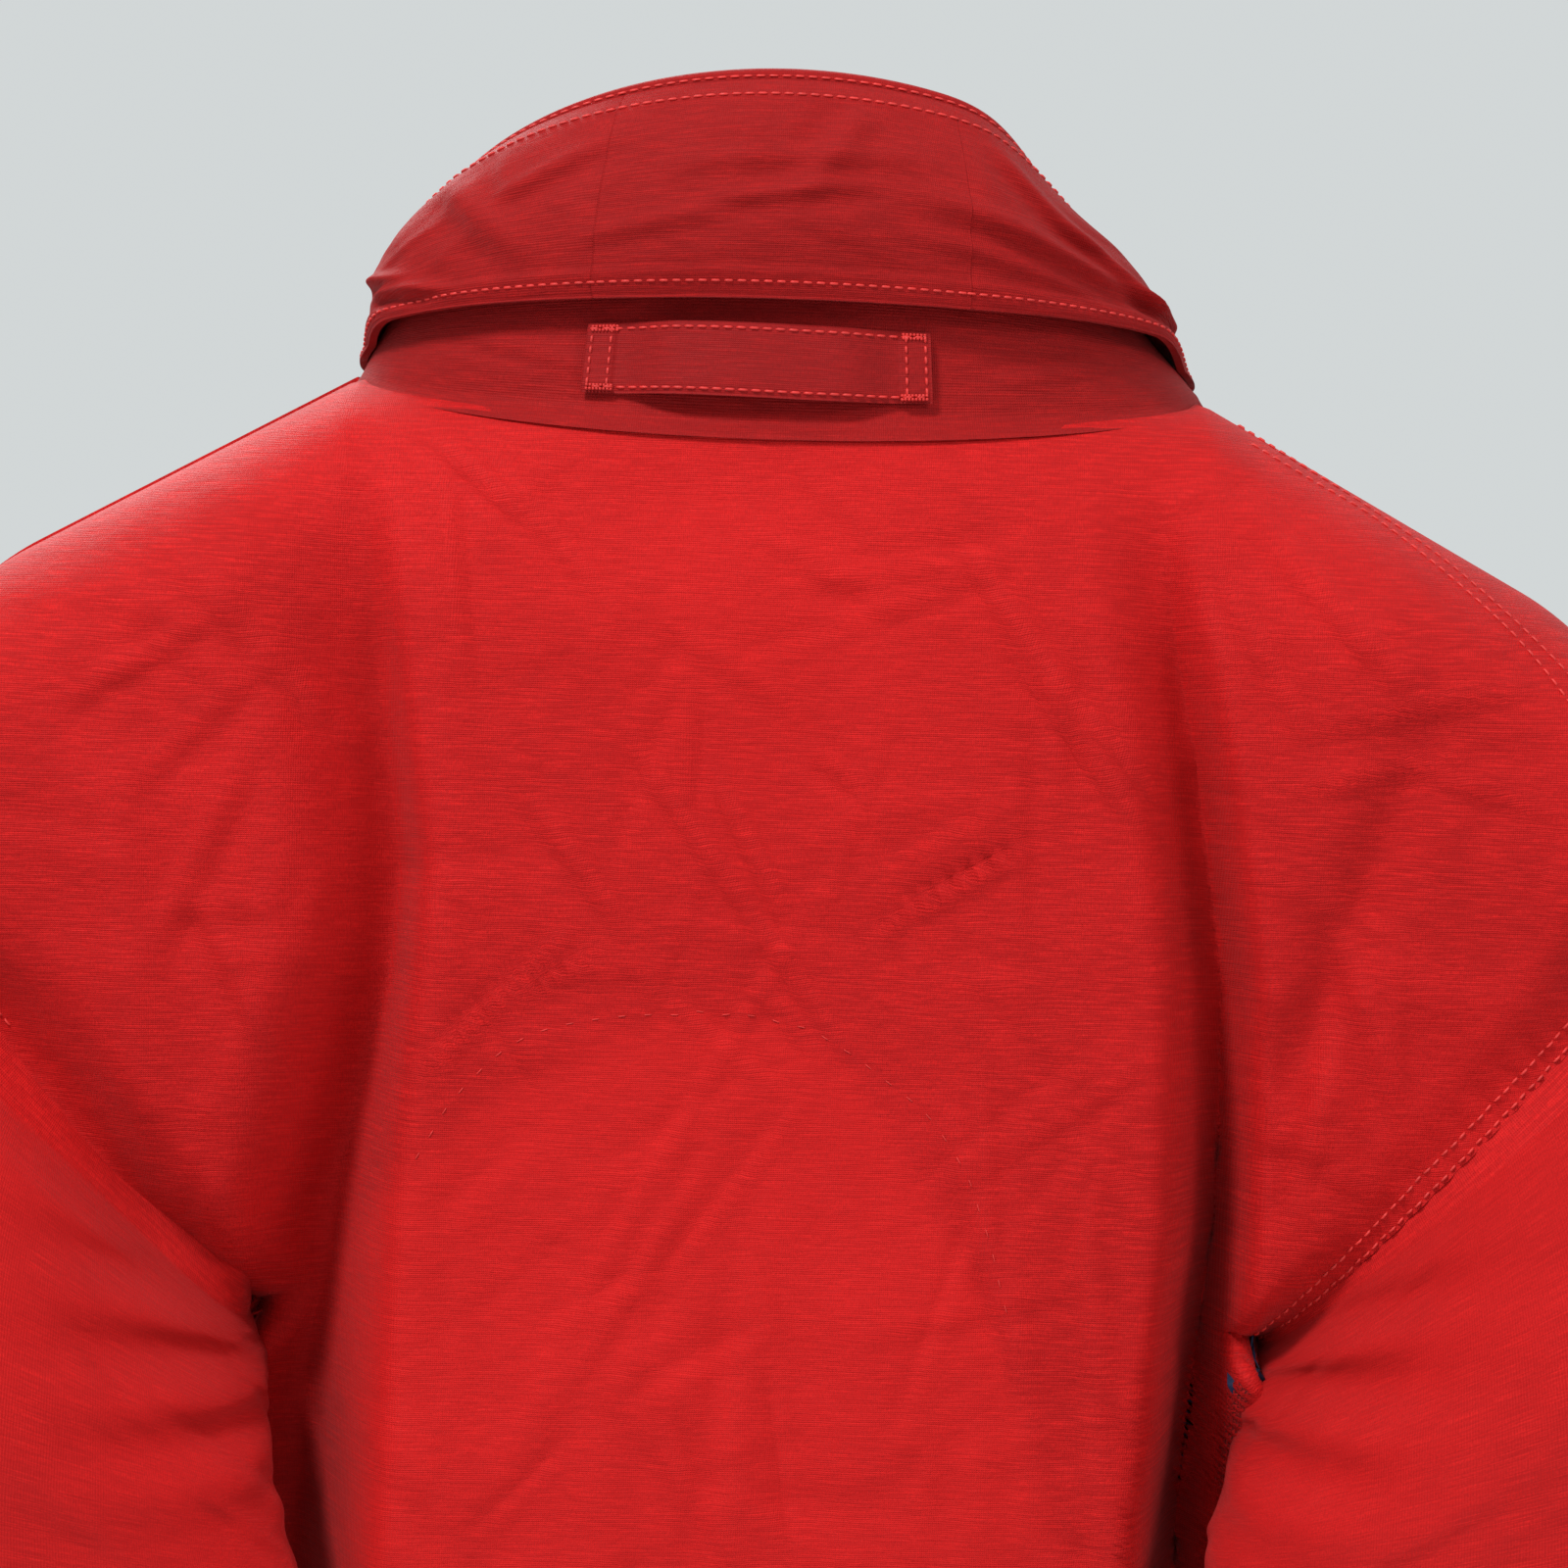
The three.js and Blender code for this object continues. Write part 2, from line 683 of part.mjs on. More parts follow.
// ---- front zip ----
function addZip() {
  const inner = rowGap / 2;
  const outer = inner + toothWide;
  const teethY = -neckFront - toothStandBack + toothDeep;
  const tapeY = -neckFront + gap;
  const footZ = zipBottomZ - zipTapeBelow;
  for (const [name, side] of sides) {
    const across = (from, to) => [side * from, side * to].sort((a, b) => a - b);
    const [tapeLow, tapeEnd] = across(outer + gap, outer + gap + zipTapeWide);
    const tape = box([tapeLow, tapeY, footZ], [tapeEnd, tapeY + zipTapeThick, zipTopZ]);
    add(`${name}_zip_tape`, tape, redTape);
    const [low, high] = across(inner, outer);
    const stopLow = zipTopZ - stopBelow - stopHigh;
    const teethLow = footZ + retainerHigh + gap;
    const teeth = box([low, teethY - toothDeep, teethLow], [high, teethY, stopLow - gap]);
    add(`${name}_zip_teeth`, teeth, toothPlastic);
    const stopTop = zipTopZ - stopBelow;
    const stop = box([low, teethY - toothDeep, stopLow], [high, teethY, stopTop]);
    add(`${name}_zip_top_stop`, stop, toothPlastic);
  }
  const retainerTop = footZ + retainerHigh;
  const retainer = box([-outer, teethY - toothDeep, footZ], [outer, teethY, retainerTop]);
  add("zip_retainer_box", retainer, toothPlastic);
  addSlider(teethY);
}

function addSlider(teethY) {
  const low = sliderZ - sliderHigh;
  const frontFace = teethY - toothDeep - gap;
  const backFace = teethY + gap;
  const front = box([-sliderHalf, frontFace - sliderPlate, low], [sliderHalf, frontFace, sliderZ]);
  const back = box([-sliderHalf, backFace, low], [sliderHalf, backFace + sliderPlate, sliderZ]);
  const finHalf = rowGap / 2 - 0.25;
  const finReach = 0.2; // into each plate
  const fin = box([-finHalf, frontFace - finReach, low], [finHalf, backFace + finReach, sliderZ]);
  const lugY = frontFace - sliderPlate;
  const middle = sliderZ - sliderHigh / 2;
  const half = lugThick / 2;
  const lugLow = middle - lugHigh / 2;
  const lug = box([-half, lugY - lugDeep, lugLow], [half, lugY + finReach, lugLow + lugHigh]);
  const eyeY = lugY - lugDeep / 2 + 0.3;
  const eyeFront = eyeY - lugEyeDeep / 2;
  const eyeLow = middle - lugEyeHigh / 2;
  const eyeTop = eyeLow + lugEyeHigh;
  const eye = box([-lugThick, eyeFront, eyeLow], [lugThick, eyeFront + lugEyeDeep, eyeTop]);
  const body = solid(front).add(solid(back)).add(solid(fin)).add(solid(lug)).subtract(solid(eye));
  add("zip_slider", fromSolid(body), castMetal);

  const bar = pullThick;
  const top = middle + bar / 2;
  const outline = new THREE.Shape([
    new THREE.Vector2(-pullWide / 2, top),
    new THREE.Vector2(-pullWide / 2, top - pullHigh),
    new THREE.Vector2(pullWide / 2, top - pullHigh),
    new THREE.Vector2(pullWide / 2, top),
  ]);
  const window = lugThick / 2 + 0.5;
  outline.holes.push(
    new THREE.Path([
      new THREE.Vector2(-window, top - bar),
      new THREE.Vector2(window, top - bar),
      new THREE.Vector2(window, top - bar - pullWindowHigh),
      new THREE.Vector2(-window, top - bar - pullWindowHigh),
    ])
  );
  const pull = new THREE.ExtrudeGeometry(outline, { depth: pullThick, bevelEnabled: false });
  pull.rotateX(Math.PI / 2).translate(0, eyeY + pullThick / 2, 0);
  add("zip_pull", pull, castMetal);
}

// ---- storm flap, snaps and wind flap ----
function snapCap(radius) {
  const profile = [[0, 0], [radius, 0], [radius, 0.7], [radius * 0.8, 1.6], [0, 2]];
  return new THREE.LatheGeometry(profile.map(([r, h]) => new THREE.Vector2(r, h)), 16);
}

function snapStud(radius, high) {
  const neck = radius * 0.5;
  const flange = 0.8;
  const profile = [[0, 0], [radius, 0], [radius, flange], [neck, flange], [neck, high], [0, high]];
  return new THREE.LatheGeometry(profile.map(([r, h]) => new THREE.Vector2(r, h)), 14);
}

const panelFace = -neckFront - cloth; // outer face of the front panels, beside the zip
const flapInner = panelFace - flapStand;
function addStormFlap() {
  const outline = [
    [flapSewnX, panelFace - gap],
    [flapSewnX - flapRise, flapInner - flapThick],
    [flapFreeX, flapInner - flapThick],
    [flapFreeX, flapInner],
    [flapSewnX - flapRise, flapInner],
    [flapSewnX - flapThick * 2, panelFace - gap],
  ];
  add("storm_flap", upright(outline, flapBottomZ, flapTopZ), redCloth);
  for (const t of steps(snapCount - 1)) {
    const z = mix(snapTopZ, snapBottomZ, t);
    const number = Math.round(t * (snapCount - 1)) + 1;
    const cap = snapCap(snapRadius).rotateX(Math.PI);
    cap.translate(snapX, flapInner - flapThick - gap, z);
    add(`storm_snap_cap_${number}`, cap, plateMetal);
    const stud = snapStud(studRadius, flapStand - 2 * gap).rotateX(Math.PI);
    stud.translate(snapX, panelFace - gap, z);
    add(`storm_snap_stud_${number}`, stud, plateMetal);
  }
  addWindFlap();
}

// A strip behind the zip, carried on the left front inside the zip tape.
function addWindFlap() {
  const tapeEnd = rowGap / 2 + toothWide + gap + zipTapeWide;
  const carried = -neckFront + gap;
  const sliderBack = -neckFront - toothStandBack + toothDeep + gap + sliderPlate;
  const back = sliderBack + windFlapStand;
  const from = tapeEnd + 2;
  const outline = [
    [from + windFlapLap, carried],
    [from + windFlapLap, carried + liningCloth],
    [from + liningCloth, carried + liningCloth],
    [from + liningCloth, back + liningCloth],
    [-tapeEnd, back + liningCloth],
    [-tapeEnd, back],
    [from, back],
    [from, carried],
  ];
  add("inner_wind_flap", upright(outline, zipBottomZ, flapTopZ), redCloth);
}

// ---- pockets ----
// Each pocket stands on the flat slope of a front; its group's X runs along the cloth.
function addPockets() {
  const lean = Math.atan(frontSlope);
  for (const [name, side] of sides) {
    const panel = new THREE.Group();
    panel.position.set(side * pocketX, frontDepth(pocketX), pocketTop);
    panel.rotation.z = side * lean;
    jacket.add(panel);
    addPocket(name, panel);
  }
}

function addPocket(name, panel) {
  const half = pocketWide / 2;
  const base = -cloth - gap; // just outside the front's cloth
  const face = base - pocketDeep;
  const bag = solid(box([-half, face, -pocketHigh], [half, base, 0]));
  const room = box([-half + cloth, face + cloth, -pocketHigh + cloth], [half - cloth, base + 1, 1]);
  add(`${name}_pocket`, fromSolid(bag.subtract(solid(room))), redCloth, panel);

  const flapFrom = face - pocketStudHigh - 2 * gap;
  const flapHalf = half + pocketFlapOver;
  const outline = [
    [base, pocketFlapLift],
    [flapFrom - flapThick, 0],
    [flapFrom - flapThick, -pocketFlapHigh],
    [flapFrom, -pocketFlapHigh],
    [flapFrom, -1],
    [base, pocketFlapLift - 4],
  ];
  add(`${name}_pocket_flap`, swapToYZ(outline, flapHalf), redCloth, panel);
  const snapZ = -pocketFlapHigh + pocketSnapUp;
  const cap = snapCap(snapRadius).rotateX(Math.PI).translate(0, flapFrom - flapThick - gap, snapZ);
  add(`${name}_pocket_snap_cap`, cap, plateMetal, panel);
  const stud = snapStud(studRadius, pocketStudHigh);
  stud.rotateX(Math.PI).translate(0, face - gap, snapZ);
  add(`${name}_pocket_snap_stud`, stud, plateMetal, panel);
}

// An outline in Y and Z carried along X, the same distance to both sides.
function swapToYZ(outline, half) {
  const turned = new THREE.Matrix4().set(0, 0, 1, -half, 1, 0, 0, 0, 0, 1, 0, 0, 0, 0, 0, 1);
  return prism(outline, 2 * half).applyMatrix4(turned);
}

// ---- hem band with its cord eyelets ----
function addHem() {
  const from = cloth + gap;
  const to = from + bandCloth;
  const heights = [hemZ + hemHigh, hemZ + hemHigh / 2, hemZ];
  const foot = (columns) =>
    columns.map((column) => heights.map((z) => point(column[hemRow].x, column[hemRow].y, z)));
  add("back_hem_band", sheet(foot(backColumns()), from, to, 1), redCloth);
  for (const [name, side] of sides) {
    const band = sheet(foot(frontColumns(side)), from, to, -side);
    add(`${name}_front_hem_band`, band, redCloth);
  }
  for (const [name, side] of sides) {
    const ring = [
      [eyeletHole, 0],
      [eyeletRadius, 0],
      [eyeletRadius, eyeletThick],
      [eyeletHole, eyeletThick],
      [eyeletHole, 0],
    ];
    const eyelet = new THREE.LatheGeometry(ring.map(([r, h]) => new THREE.Vector2(r, h)), 16);
    eyelet.rotateX(Math.PI).rotateZ(side * Math.atan(frontSlope));
    eyelet.translate(side * eyeletX, frontDepth(eyeletX) - to - gap, hemZ + hemHigh / 2);
    add(`${name}_hem_eyelet`, eyelet, plateMetal);
  }
}

// ---- loop to hang the jacket by ----
function addLoop() {
  const half = loopLong / 2;
  const list = (extra) => (along) => {
    const x = Math.sin((along / backShare) * (Math.PI / 2)) * neckHalf;
    const fromEnd = half - Math.abs(x - loopMiddleX);
    const outward = cloth + gap + loopBow * ease(loopSewn, loopSewn + loopRise, fromEnd) + extra;
    const at = (z) => [loopLowShare + (z - loopLowZ) / collarHigh, outward, 0];
    return [at(loopLowZ + loopHigh), at(loopLowZ)];
  };
  const from = alongAt(loopMiddleX - half, neckHalf);
  const to = alongAt(loopMiddleX + half, neckHalf);
  add("locker_loop", alongCollar(from, to, 18, list(loopThick), list(0)), redWebbing);
}

addBody();
addLinings();
addSleeves();
addCollar();
addZip();
addStormFlap();
addPockets();
addHem();
addLoop();

export default jacket;
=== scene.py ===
"""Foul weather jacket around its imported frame: coated cloth, linings, hood pouch, loop, zip and pockets.

Shapes are worked out in millimetres and put into meshes in metres. +Z is up and the front faces -Y.
"""

import math

import bmesh
import bpy
import numpy as np
from mathutils import Matrix, Vector


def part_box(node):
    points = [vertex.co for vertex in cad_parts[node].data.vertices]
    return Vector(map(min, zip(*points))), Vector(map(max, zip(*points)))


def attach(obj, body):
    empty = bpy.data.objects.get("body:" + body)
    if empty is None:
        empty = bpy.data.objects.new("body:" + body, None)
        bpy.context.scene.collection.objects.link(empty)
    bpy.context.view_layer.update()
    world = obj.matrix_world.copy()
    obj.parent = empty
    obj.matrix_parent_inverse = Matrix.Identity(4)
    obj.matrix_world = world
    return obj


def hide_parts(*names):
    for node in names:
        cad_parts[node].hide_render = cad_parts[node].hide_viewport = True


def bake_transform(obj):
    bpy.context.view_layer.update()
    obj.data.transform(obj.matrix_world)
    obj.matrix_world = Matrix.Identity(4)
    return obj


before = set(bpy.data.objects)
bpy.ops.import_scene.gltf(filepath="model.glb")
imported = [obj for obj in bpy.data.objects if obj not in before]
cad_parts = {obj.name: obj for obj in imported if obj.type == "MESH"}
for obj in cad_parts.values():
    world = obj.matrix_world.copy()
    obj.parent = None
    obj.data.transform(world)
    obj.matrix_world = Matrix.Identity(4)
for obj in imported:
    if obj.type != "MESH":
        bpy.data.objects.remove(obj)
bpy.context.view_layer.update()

SIDES = (("left", 1), ("right", -1))
GAP = 0.4  # between layers of cloth

# body
HEM_Z = -770.0
CLOTH = 1.6
NECK_HALF = 107.0
NECK_BACK = 63.0
NECK_FRONT = 80.0
NECK_BACK_DROP = 13.0
NECK_FRONT_DROP = 75.0
NECK_DIP = 3
FLAT_HALF = 26.0
FRONT_EDGE = 9.0
FRONT_FLAT = 42.0
FRONT_SLOPE = 0.101
SHOULDER_SLOPE = 0.55
HANGER_END_X = 190.0
HANGER_END_DROP = 0.012
SHOULDER_END = (245.0, -112.2)
UNDERARM = (132.0, -240.0)
ARMHOLE_HALF_DEPTH = 50.0
SIDE_HALF = 250.0
SIDE_Y = -40.0
SHOULDER_ROUND = 45.0
BACK_EDGE_SHARE = 0.9
FRONT_EDGE_SHARE = 0.86

# collar
NECK_RISE = 3.2
COLLAR_HALF = 92.0
COLLAR_BACK = 60.0
COLLAR_TOP = (75.0, 30.0, 5.0)  # height of the top edge at the back, the side and the front
COLLAR_PLY = 6.0
COLLAR_PULL = 17.0  # the top edge sags inward this far on the right
COLLAR_HIGH = 88.0
BACK_SHARE = 0.42
ROUND_SHARE = 0.9
COVER_LOW = 0.315
COVER_TOP = 0.965
COVER_END = 0.46
COVER_SPLIT = 0.003
HOOD_FLAP_HALF = 46.0

# loop, cuffs, hem, pockets, zip
LOOP_HALF = 42.5
LOOP_MIDDLE = 5.5
CUFF_LONG = 44.0
SLEEVE_LONG = 598.0
CUFF_START = 1 - CUFF_LONG / SLEEVE_LONG
HEM_HIGH = 28.0
POCKET_X = 142.0
POCKET_TOP = -522.0
POCKET_HALF = 69.0
POCKET_HIGH = 196.0
POCKET_DEEP = 16.0
POCKET_FLAP_HIGH = 64.0
ZIP_TOP = -2.0
ZIP_FOOT = -764.0

STITCH_PITCH = 3.2
STITCH_LONG = 2.5
THREAD = 0.36  # radius


STORM_HINGE_X = 38.0  # the storm flap's sewn edge
STORM_Y = -82.0
STORM_TOP = -82.0
STORM_FOOT = -738.0
STORM_SNAP_X = -22.0

# studio, in metres
FLOOR_Z = -0.92
FLOOR_HALF = 1.6
CAMERA_SPOT = (-0.004, 1.05, -0.101)
CAMERA_ROLL = 1.7  # degrees
CAMERA_LENS = 92.5


# ---- arithmetic ----
def smooth(low, high, value):
    """0 before low, 1 past high, and 3t squared less 2t cubed between them."""
    t = np.clip((value - low) / (high - low), 0, 1)
    return t * t * (3 - 2 * t)


def mix(a, b, t):
    """A share t of the way from a to b."""
    return a + (b - a) * t


def root(value):
    """The square root, and 0 below 0."""
    return np.sqrt(np.maximum(0, value))


def along_pairs(pairs, place):
    """Straight lines through pairs of (place, value), held level past both ends."""
    pairs = sorted(pairs)
    return np.interp(place, [p[0] for p in pairs], [p[1] for p in pairs])


def spline(points, count):
    """A Catmull-Rom curve through rows of points at equal steps, as count rows."""
    p = np.array(points, float)
    p = np.vstack([2 * p[0] - p[1], p, 2 * p[-1] - p[-2]])
    t = np.linspace(0, len(p) - 3, count)
    k = np.minimum(t.astype(int), len(p) - 4)
    f = (t - k)[:, None]
    a, b, c, d = p[k], p[k + 1], p[k + 2], p[k + 3]
    return 0.5 * (2 * b + (c - a) * f + (2 * a - 5 * b + 4 * c - d) * f**2 + (3 * b - a - 3 * c + d) * f**3)


# ---- creases: each is a low ridge with a shallow valley beside it ----
def crease(u, v, start, end, high, wide):
    """A ridge of gauss section along the line start-end, faded out at its ends, with a valley at its side."""
    run = np.subtract(end, start)
    length = math.hypot(*run)
    run = run / length
    t = ((u - start[0]) * run[0] + (v - start[1]) * run[1]) / length
    off = (u - start[0]) * -run[1] + (v - start[1]) * run[0]
    fade = smooth(-0.12, 0.3, t) * (1 - smooth(0.7, 1.12, t))
    section = np.exp(-((off / wide) ** 2)) - 0.65 * np.exp(-(((off - 1.7 * wide) / (1.2 * wide)) ** 2))
    return high * fade * section


def scattered(u, v, box, count, seed, high=(0.25, 0.8), wide=(2.4, 6.0), long=(18, 75), lean=None):
    """Many seeded creases inside box (low u, high u, low v, high v); lean is the middle angle in radians."""
    draw = np.random.default_rng(seed)
    total = np.zeros(np.broadcast(u, v).shape)
    for _ in range(count):
        start = draw.uniform(box[0], box[1]), draw.uniform(box[2], box[3])
        turn = draw.uniform(0, math.pi) if lean is None else draw.normal(lean, 0.45)
        reach = draw.uniform(*long)
        end = start[0] + reach * math.cos(turn), start[1] + reach * math.sin(turn)
        total += crease(u, v, start, end, draw.uniform(*high) * draw.choice([-1, 1]), draw.uniform(*wide))
    return total


def swell(u, v, seed, length, high):
    """Slow undulation: twelve seeded cosine waves about length long."""
    draw = np.random.default_rng(seed)
    total = np.zeros(np.broadcast(u, v).shape)
    for _ in range(12):
        turn, phase = draw.uniform(0, 2 * math.pi, 2)
        k = 2 * math.pi / (length * draw.uniform(0.7, 1.6))
        total += np.cos(k * (u * math.cos(turn) + v * math.sin(turn)) + phase)
    return high * total / 4


# ---- the body's surface ----
def top_z(x, front):
    """The height of the top edge: down the neck's dip, then along the shoulder's slope and over its
    rounded end."""
    across = np.abs(x)
    past = np.maximum(0, across - HANGER_END_X)
    shoulder = -SHOULDER_SLOPE * (across - NECK_HALF) - HANGER_END_DROP * past**2
    if front:
        neck = -NECK_FRONT_DROP * front_share(across) ** NECK_DIP
    else:
        neck = -NECK_BACK_DROP * root(1 - (across / NECK_HALF) ** 2)
    return np.where(across >= NECK_HALF, shoulder, neck)


def front_share(across):
    """How far forward the neck's ring lies: 1 across its flat middle, then a quarter ellipse down to 0."""
    run = np.maximum(0, across - FLAT_HALF) / (NECK_HALF - FLAT_HALF)
    return root(1 - run**2)


def top_y(x, front):
    """The depth of the top edge: an ellipse round the neck, and the middle plane along the shoulder."""
    across = np.abs(x)
    if front:
        return np.where(across >= NECK_HALF, 0, -NECK_FRONT * front_share(across))
    return np.where(across >= NECK_HALF, 0, NECK_BACK * root(1 - (across / NECK_HALF) ** 2))


def edge_table():
    """Half width and depth of the body's edge against the share of the height, down the armhole and the
    side."""
    turn = np.linspace(0, math.pi, 300)
    down = (1 - np.cos(turn)) / 2
    x = mix(SHOULDER_END[0], UNDERARM[0], down)
    z = mix(SHOULDER_END[1], UNDERARM[1], down)
    share = (top_z(x, False) - z) / (top_z(x, False) - HEM_Z)
    below = np.linspace(share[-1], 1, 300)[1:]
    flare = mix(UNDERARM[0], SIDE_HALF, smooth(share[-1], share[-1] + 0.1, below))
    side = mix(0, SIDE_Y, smooth(share[-1] + 0.02, share[-1] + 0.16, below))
    reach = ARMHOLE_HALF_DEPTH * np.sin(turn)
    return np.r_[share, below], np.r_[x, flare], np.r_[reach, side], np.r_[-reach, side], share[-1]


EDGE_SHARE, EDGE_HALF, EDGE_BACK, EDGE_FRONT, ARM_SHARE = edge_table()

# where the back's middle lobe ends (height, place across), on each side
LEFT_LOBE = [
    (-10, 97), (-43, 93), (-85, 88), (-106, 85), (-125, 83), (-162, 86), (-181, 87), (-210, 89), (-295, 91),
    (-770, 96)
]
RIGHT_VALLEY = [
    (-20, 90), (-38, 93), (-62, 98), (-91, 105), (-125, 111), (-149, 115), (-210, 117), (-295, 112),
    (-770, 110)
]


def back_depth(x, z):
    """The back lies level across its middle lobe, drops into a fold beside it, and comes out again towards
    the armhole."""
    middle = along_pairs([(HEM_Z, 46), (-300, 48), (-160, 57), (-60, 66), (-20, 65)], z)
    drop = along_pairs(
        [
            (-15, 0), (-45, 7), (-80, 14), (-106, 19), (-150, 26), (-186, 35), (-230, 52), (-280, 66),
            (HEM_Z, 68)
        ],
        z
    )
    wide = along_pairs([(-20, 8), (-150, 9), (-200, 18), (-260, 28), (HEM_Z, 40)], z)
    back_out = along_pairs(
        [(-15, 0), (-60, 9), (-106, 18), (-150, 23), (-190, 27), (-235, 36), (-285, 22), (-340, 0)], z
    )
    past = x - along_pairs(LEFT_LOBE, z)
    left = -drop * smooth(-3, wide, past) + back_out * smooth(wide, wide + 30, past)
    lobe = 2.2 * np.exp(-((past + 7) / 8) ** 2) * smooth(-20, -70, z)
    past = -x - along_pairs(RIGHT_VALLEY, z)
    right = -drop * smooth(-20, 2, past) + (back_out + 5 * smooth(-30, -80, z)) * smooth(1, 11, past)
    return middle + np.where(x > 0, left + lobe, right)


def front_depth(x):
    """The front's depth: flat beside the zip, then falling back at a steady slope."""
    return -NECK_FRONT + FRONT_SLOPE * np.maximum(0, np.abs(x) - FRONT_FLAT)


def body_surface(x, z, front):
    """Depth under a place of the front or back: it rolls over the shoulder as a quarter ellipse and eases
    to the seam at its edge."""
    top = top_z(x, front)
    share = (top - z) / (top - HEM_Z)
    half = np.interp(share, EDGE_SHARE, EDGE_HALF)
    end = np.interp(share, EDGE_SHARE, EDGE_FRONT if front else EDGE_BACK)
    roll = np.clip((top - z) / SHOULDER_ROUND, 0, 1)
    depth = front_depth(x) if front else back_depth(x, z)
    y = mix(top_y(x, front), depth, root(1 - (1 - roll) ** 2))
    reach = smooth(FRONT_EDGE_SHARE if front else BACK_EDGE_SHARE, 1, np.abs(x) / half)
    return mix(y, end, np.where(share > 0, reach, 0))


BACK_CREASES = (
    ((89, -14), (58, -40), 1.0, 3.2),
    ((72, -20), (38, -60), 0.6, 4.0),
    ((36, -88), (-26, -172), 0.8, 3.4),
    ((12, -100), (-6, -134), 0.9, 3.0),
    ((-66, -114), (-26, -138), 1.3, 2.6),
    ((-60, -104), (-30, -122), 0.6, 3.2),
    ((46, -138), (86, -178), 1.2, 3.0),
    ((38, -142), (62, -158), 0.8, 2.6),
    ((-17, -120), (44, -232), 0.6, 3.4),
    ((8, -188), (44, -250), 0.8, 4.0),
    ((-12, -178), (22, -226), 0.7, 3.0),
    ((-4, -52), (-52, -44), 0.8, 4.2),
    ((-18, -62), (-56, -46), 0.7, 3.4),
    ((4, -40), (-34, -58), 0.6, 4.4),
    ((-46, -40), (-86, -98), 1.2, 3.8),
    ((-56, -62), (-94, -112), 1.0, 3.2),
    ((-72, -76), (-98, -104), 0.9, 2.8),
    ((54, -110), (32, -140), 0.8, 3.6),
    ((64, -96), (44, -128), 0.5, 4.6),
    ((26, -62), (-10, -84), 0.5, 5.0),
    ((-62, -200), (-74, -300), 1.0, 6.5),
    ((-80, -190), (-92, -300), 1.2, 6.0),
    ((-46, -176), (-66, -240), 0.8, 4.6),
    ((70, -190), (74, -300), 0.6, 7.0),
    ((150, -44), (96, -100), 1.0, 6.0),
    ((176, -88), (134, -62), 0.9, 4.5),
    ((160, -110), (120, -70), 0.8, 5.0),
    ((152, -150), (128, -96), 1.2, 5.5),
    ((140, -130), (118, -176), 1.0, 5.0),
    ((-116, -32), (-158, -76), 1.1, 4.6),
    ((-108, -44), (-134, -90), 0.8, 4.0),
    ((-132, -84), (-186, -72), 0.9, 3.6),
    ((-128, -100), (-172, -88), 0.8, 3.4),
    ((-150, -90), (-196, -104), 0.7, 3.6),
    ((-136, -118), (-160, -180), 1.6, 6.0),
    ((-144, -150), (-132, -214), 1.4, 5.0),
)


def back_relief(x, z):
    """Creases, slow swell and the two soft folds beside the armholes, faded out towards the neck seam."""
    total = swell(x, z, 3, 90, 0.9) + swell(x, z, 5, 34, 0.28)
    for start, end, high, wide in BACK_CREASES:
        total += crease(x, z, start, end, 1.15 * high, 0.6 * wide)
    total += scattered(x, z, (-200, 200, -320, -10), 210, 11, high=(0.2, 0.75), wide=(1.6, 4.2))
    total += scattered(
        x, z, (-240, 240, -770, -300), 90, 12, long=(40, 160), wide=(4, 11), high=(0.4, 1.6), lean=1.57
    )
    soft = x - along_pairs([(-40, 168), (-100, 160), (-186, 154), (-295, 142)], z)
    total += 3.0 * np.exp(-((soft / 8) ** 2)) * smooth(-60, -140, z) * (1 - smooth(-230, -260, z))
    soft = -x - along_pairs([(-91, 157), (-149, 138), (-179, 126)], z)
    total -= 5.0 * np.exp(-((soft / 9) ** 2)) * smooth(-70, -110, z) * (1 - smooth(-190, -225, z))
    top = top_z(x, False)
    share = (top - z) / (top - HEM_Z)
    half = np.interp(share, EDGE_SHARE, EDGE_HALF)
    edge = 1 - smooth(0.93, 1.0, np.abs(x) / half)
    armhole = np.where(
        x > 0, 18 * smooth(0.86, 1.0, x / half) * smooth(-120, -165, z) * (1 - smooth(0.31, 0.36, share)), 0
    )
    pucker = np.cos((x - z) / 1.9) * smooth(0.9, 0.97, -x / half) * smooth(-130, -160, z) * (
        1 - smooth(0.29, 0.31, share)
    )
    return total * smooth(0, 22, top - z) * edge - armhole + 0.45 * pucker


def front_relief(x, z):
    """Slow swell and long soft creases, fading out at the edges, beside the zip and under the pockets."""
    total = swell(x, z, 23, 110, 0.7)
    total += scattered(
        x, z, (-230, 230, -760, -60), 110, 24, long=(30, 120), wide=(4, 9), high=(0.2, 0.7), lean=1.5
    )
    top = top_z(x, True)
    share = (top - z) / (top - HEM_Z)
    half = np.interp(share, EDGE_SHARE, EDGE_HALF)
    edge = 1 - smooth(0.9, 1.0, np.abs(x) / half)
    calm = smooth(FLAT_HALF + 14, FLAT_HALF + 40, np.abs(x))
    pocket = 1 - smooth(POCKET_HALF + 12, POCKET_HALF, np.abs(np.abs(x) - POCKET_X)) * smooth(-500, -520, z)
    return np.minimum(total, 0.6) * smooth(0, 25, top - z) * edge * calm * pocket


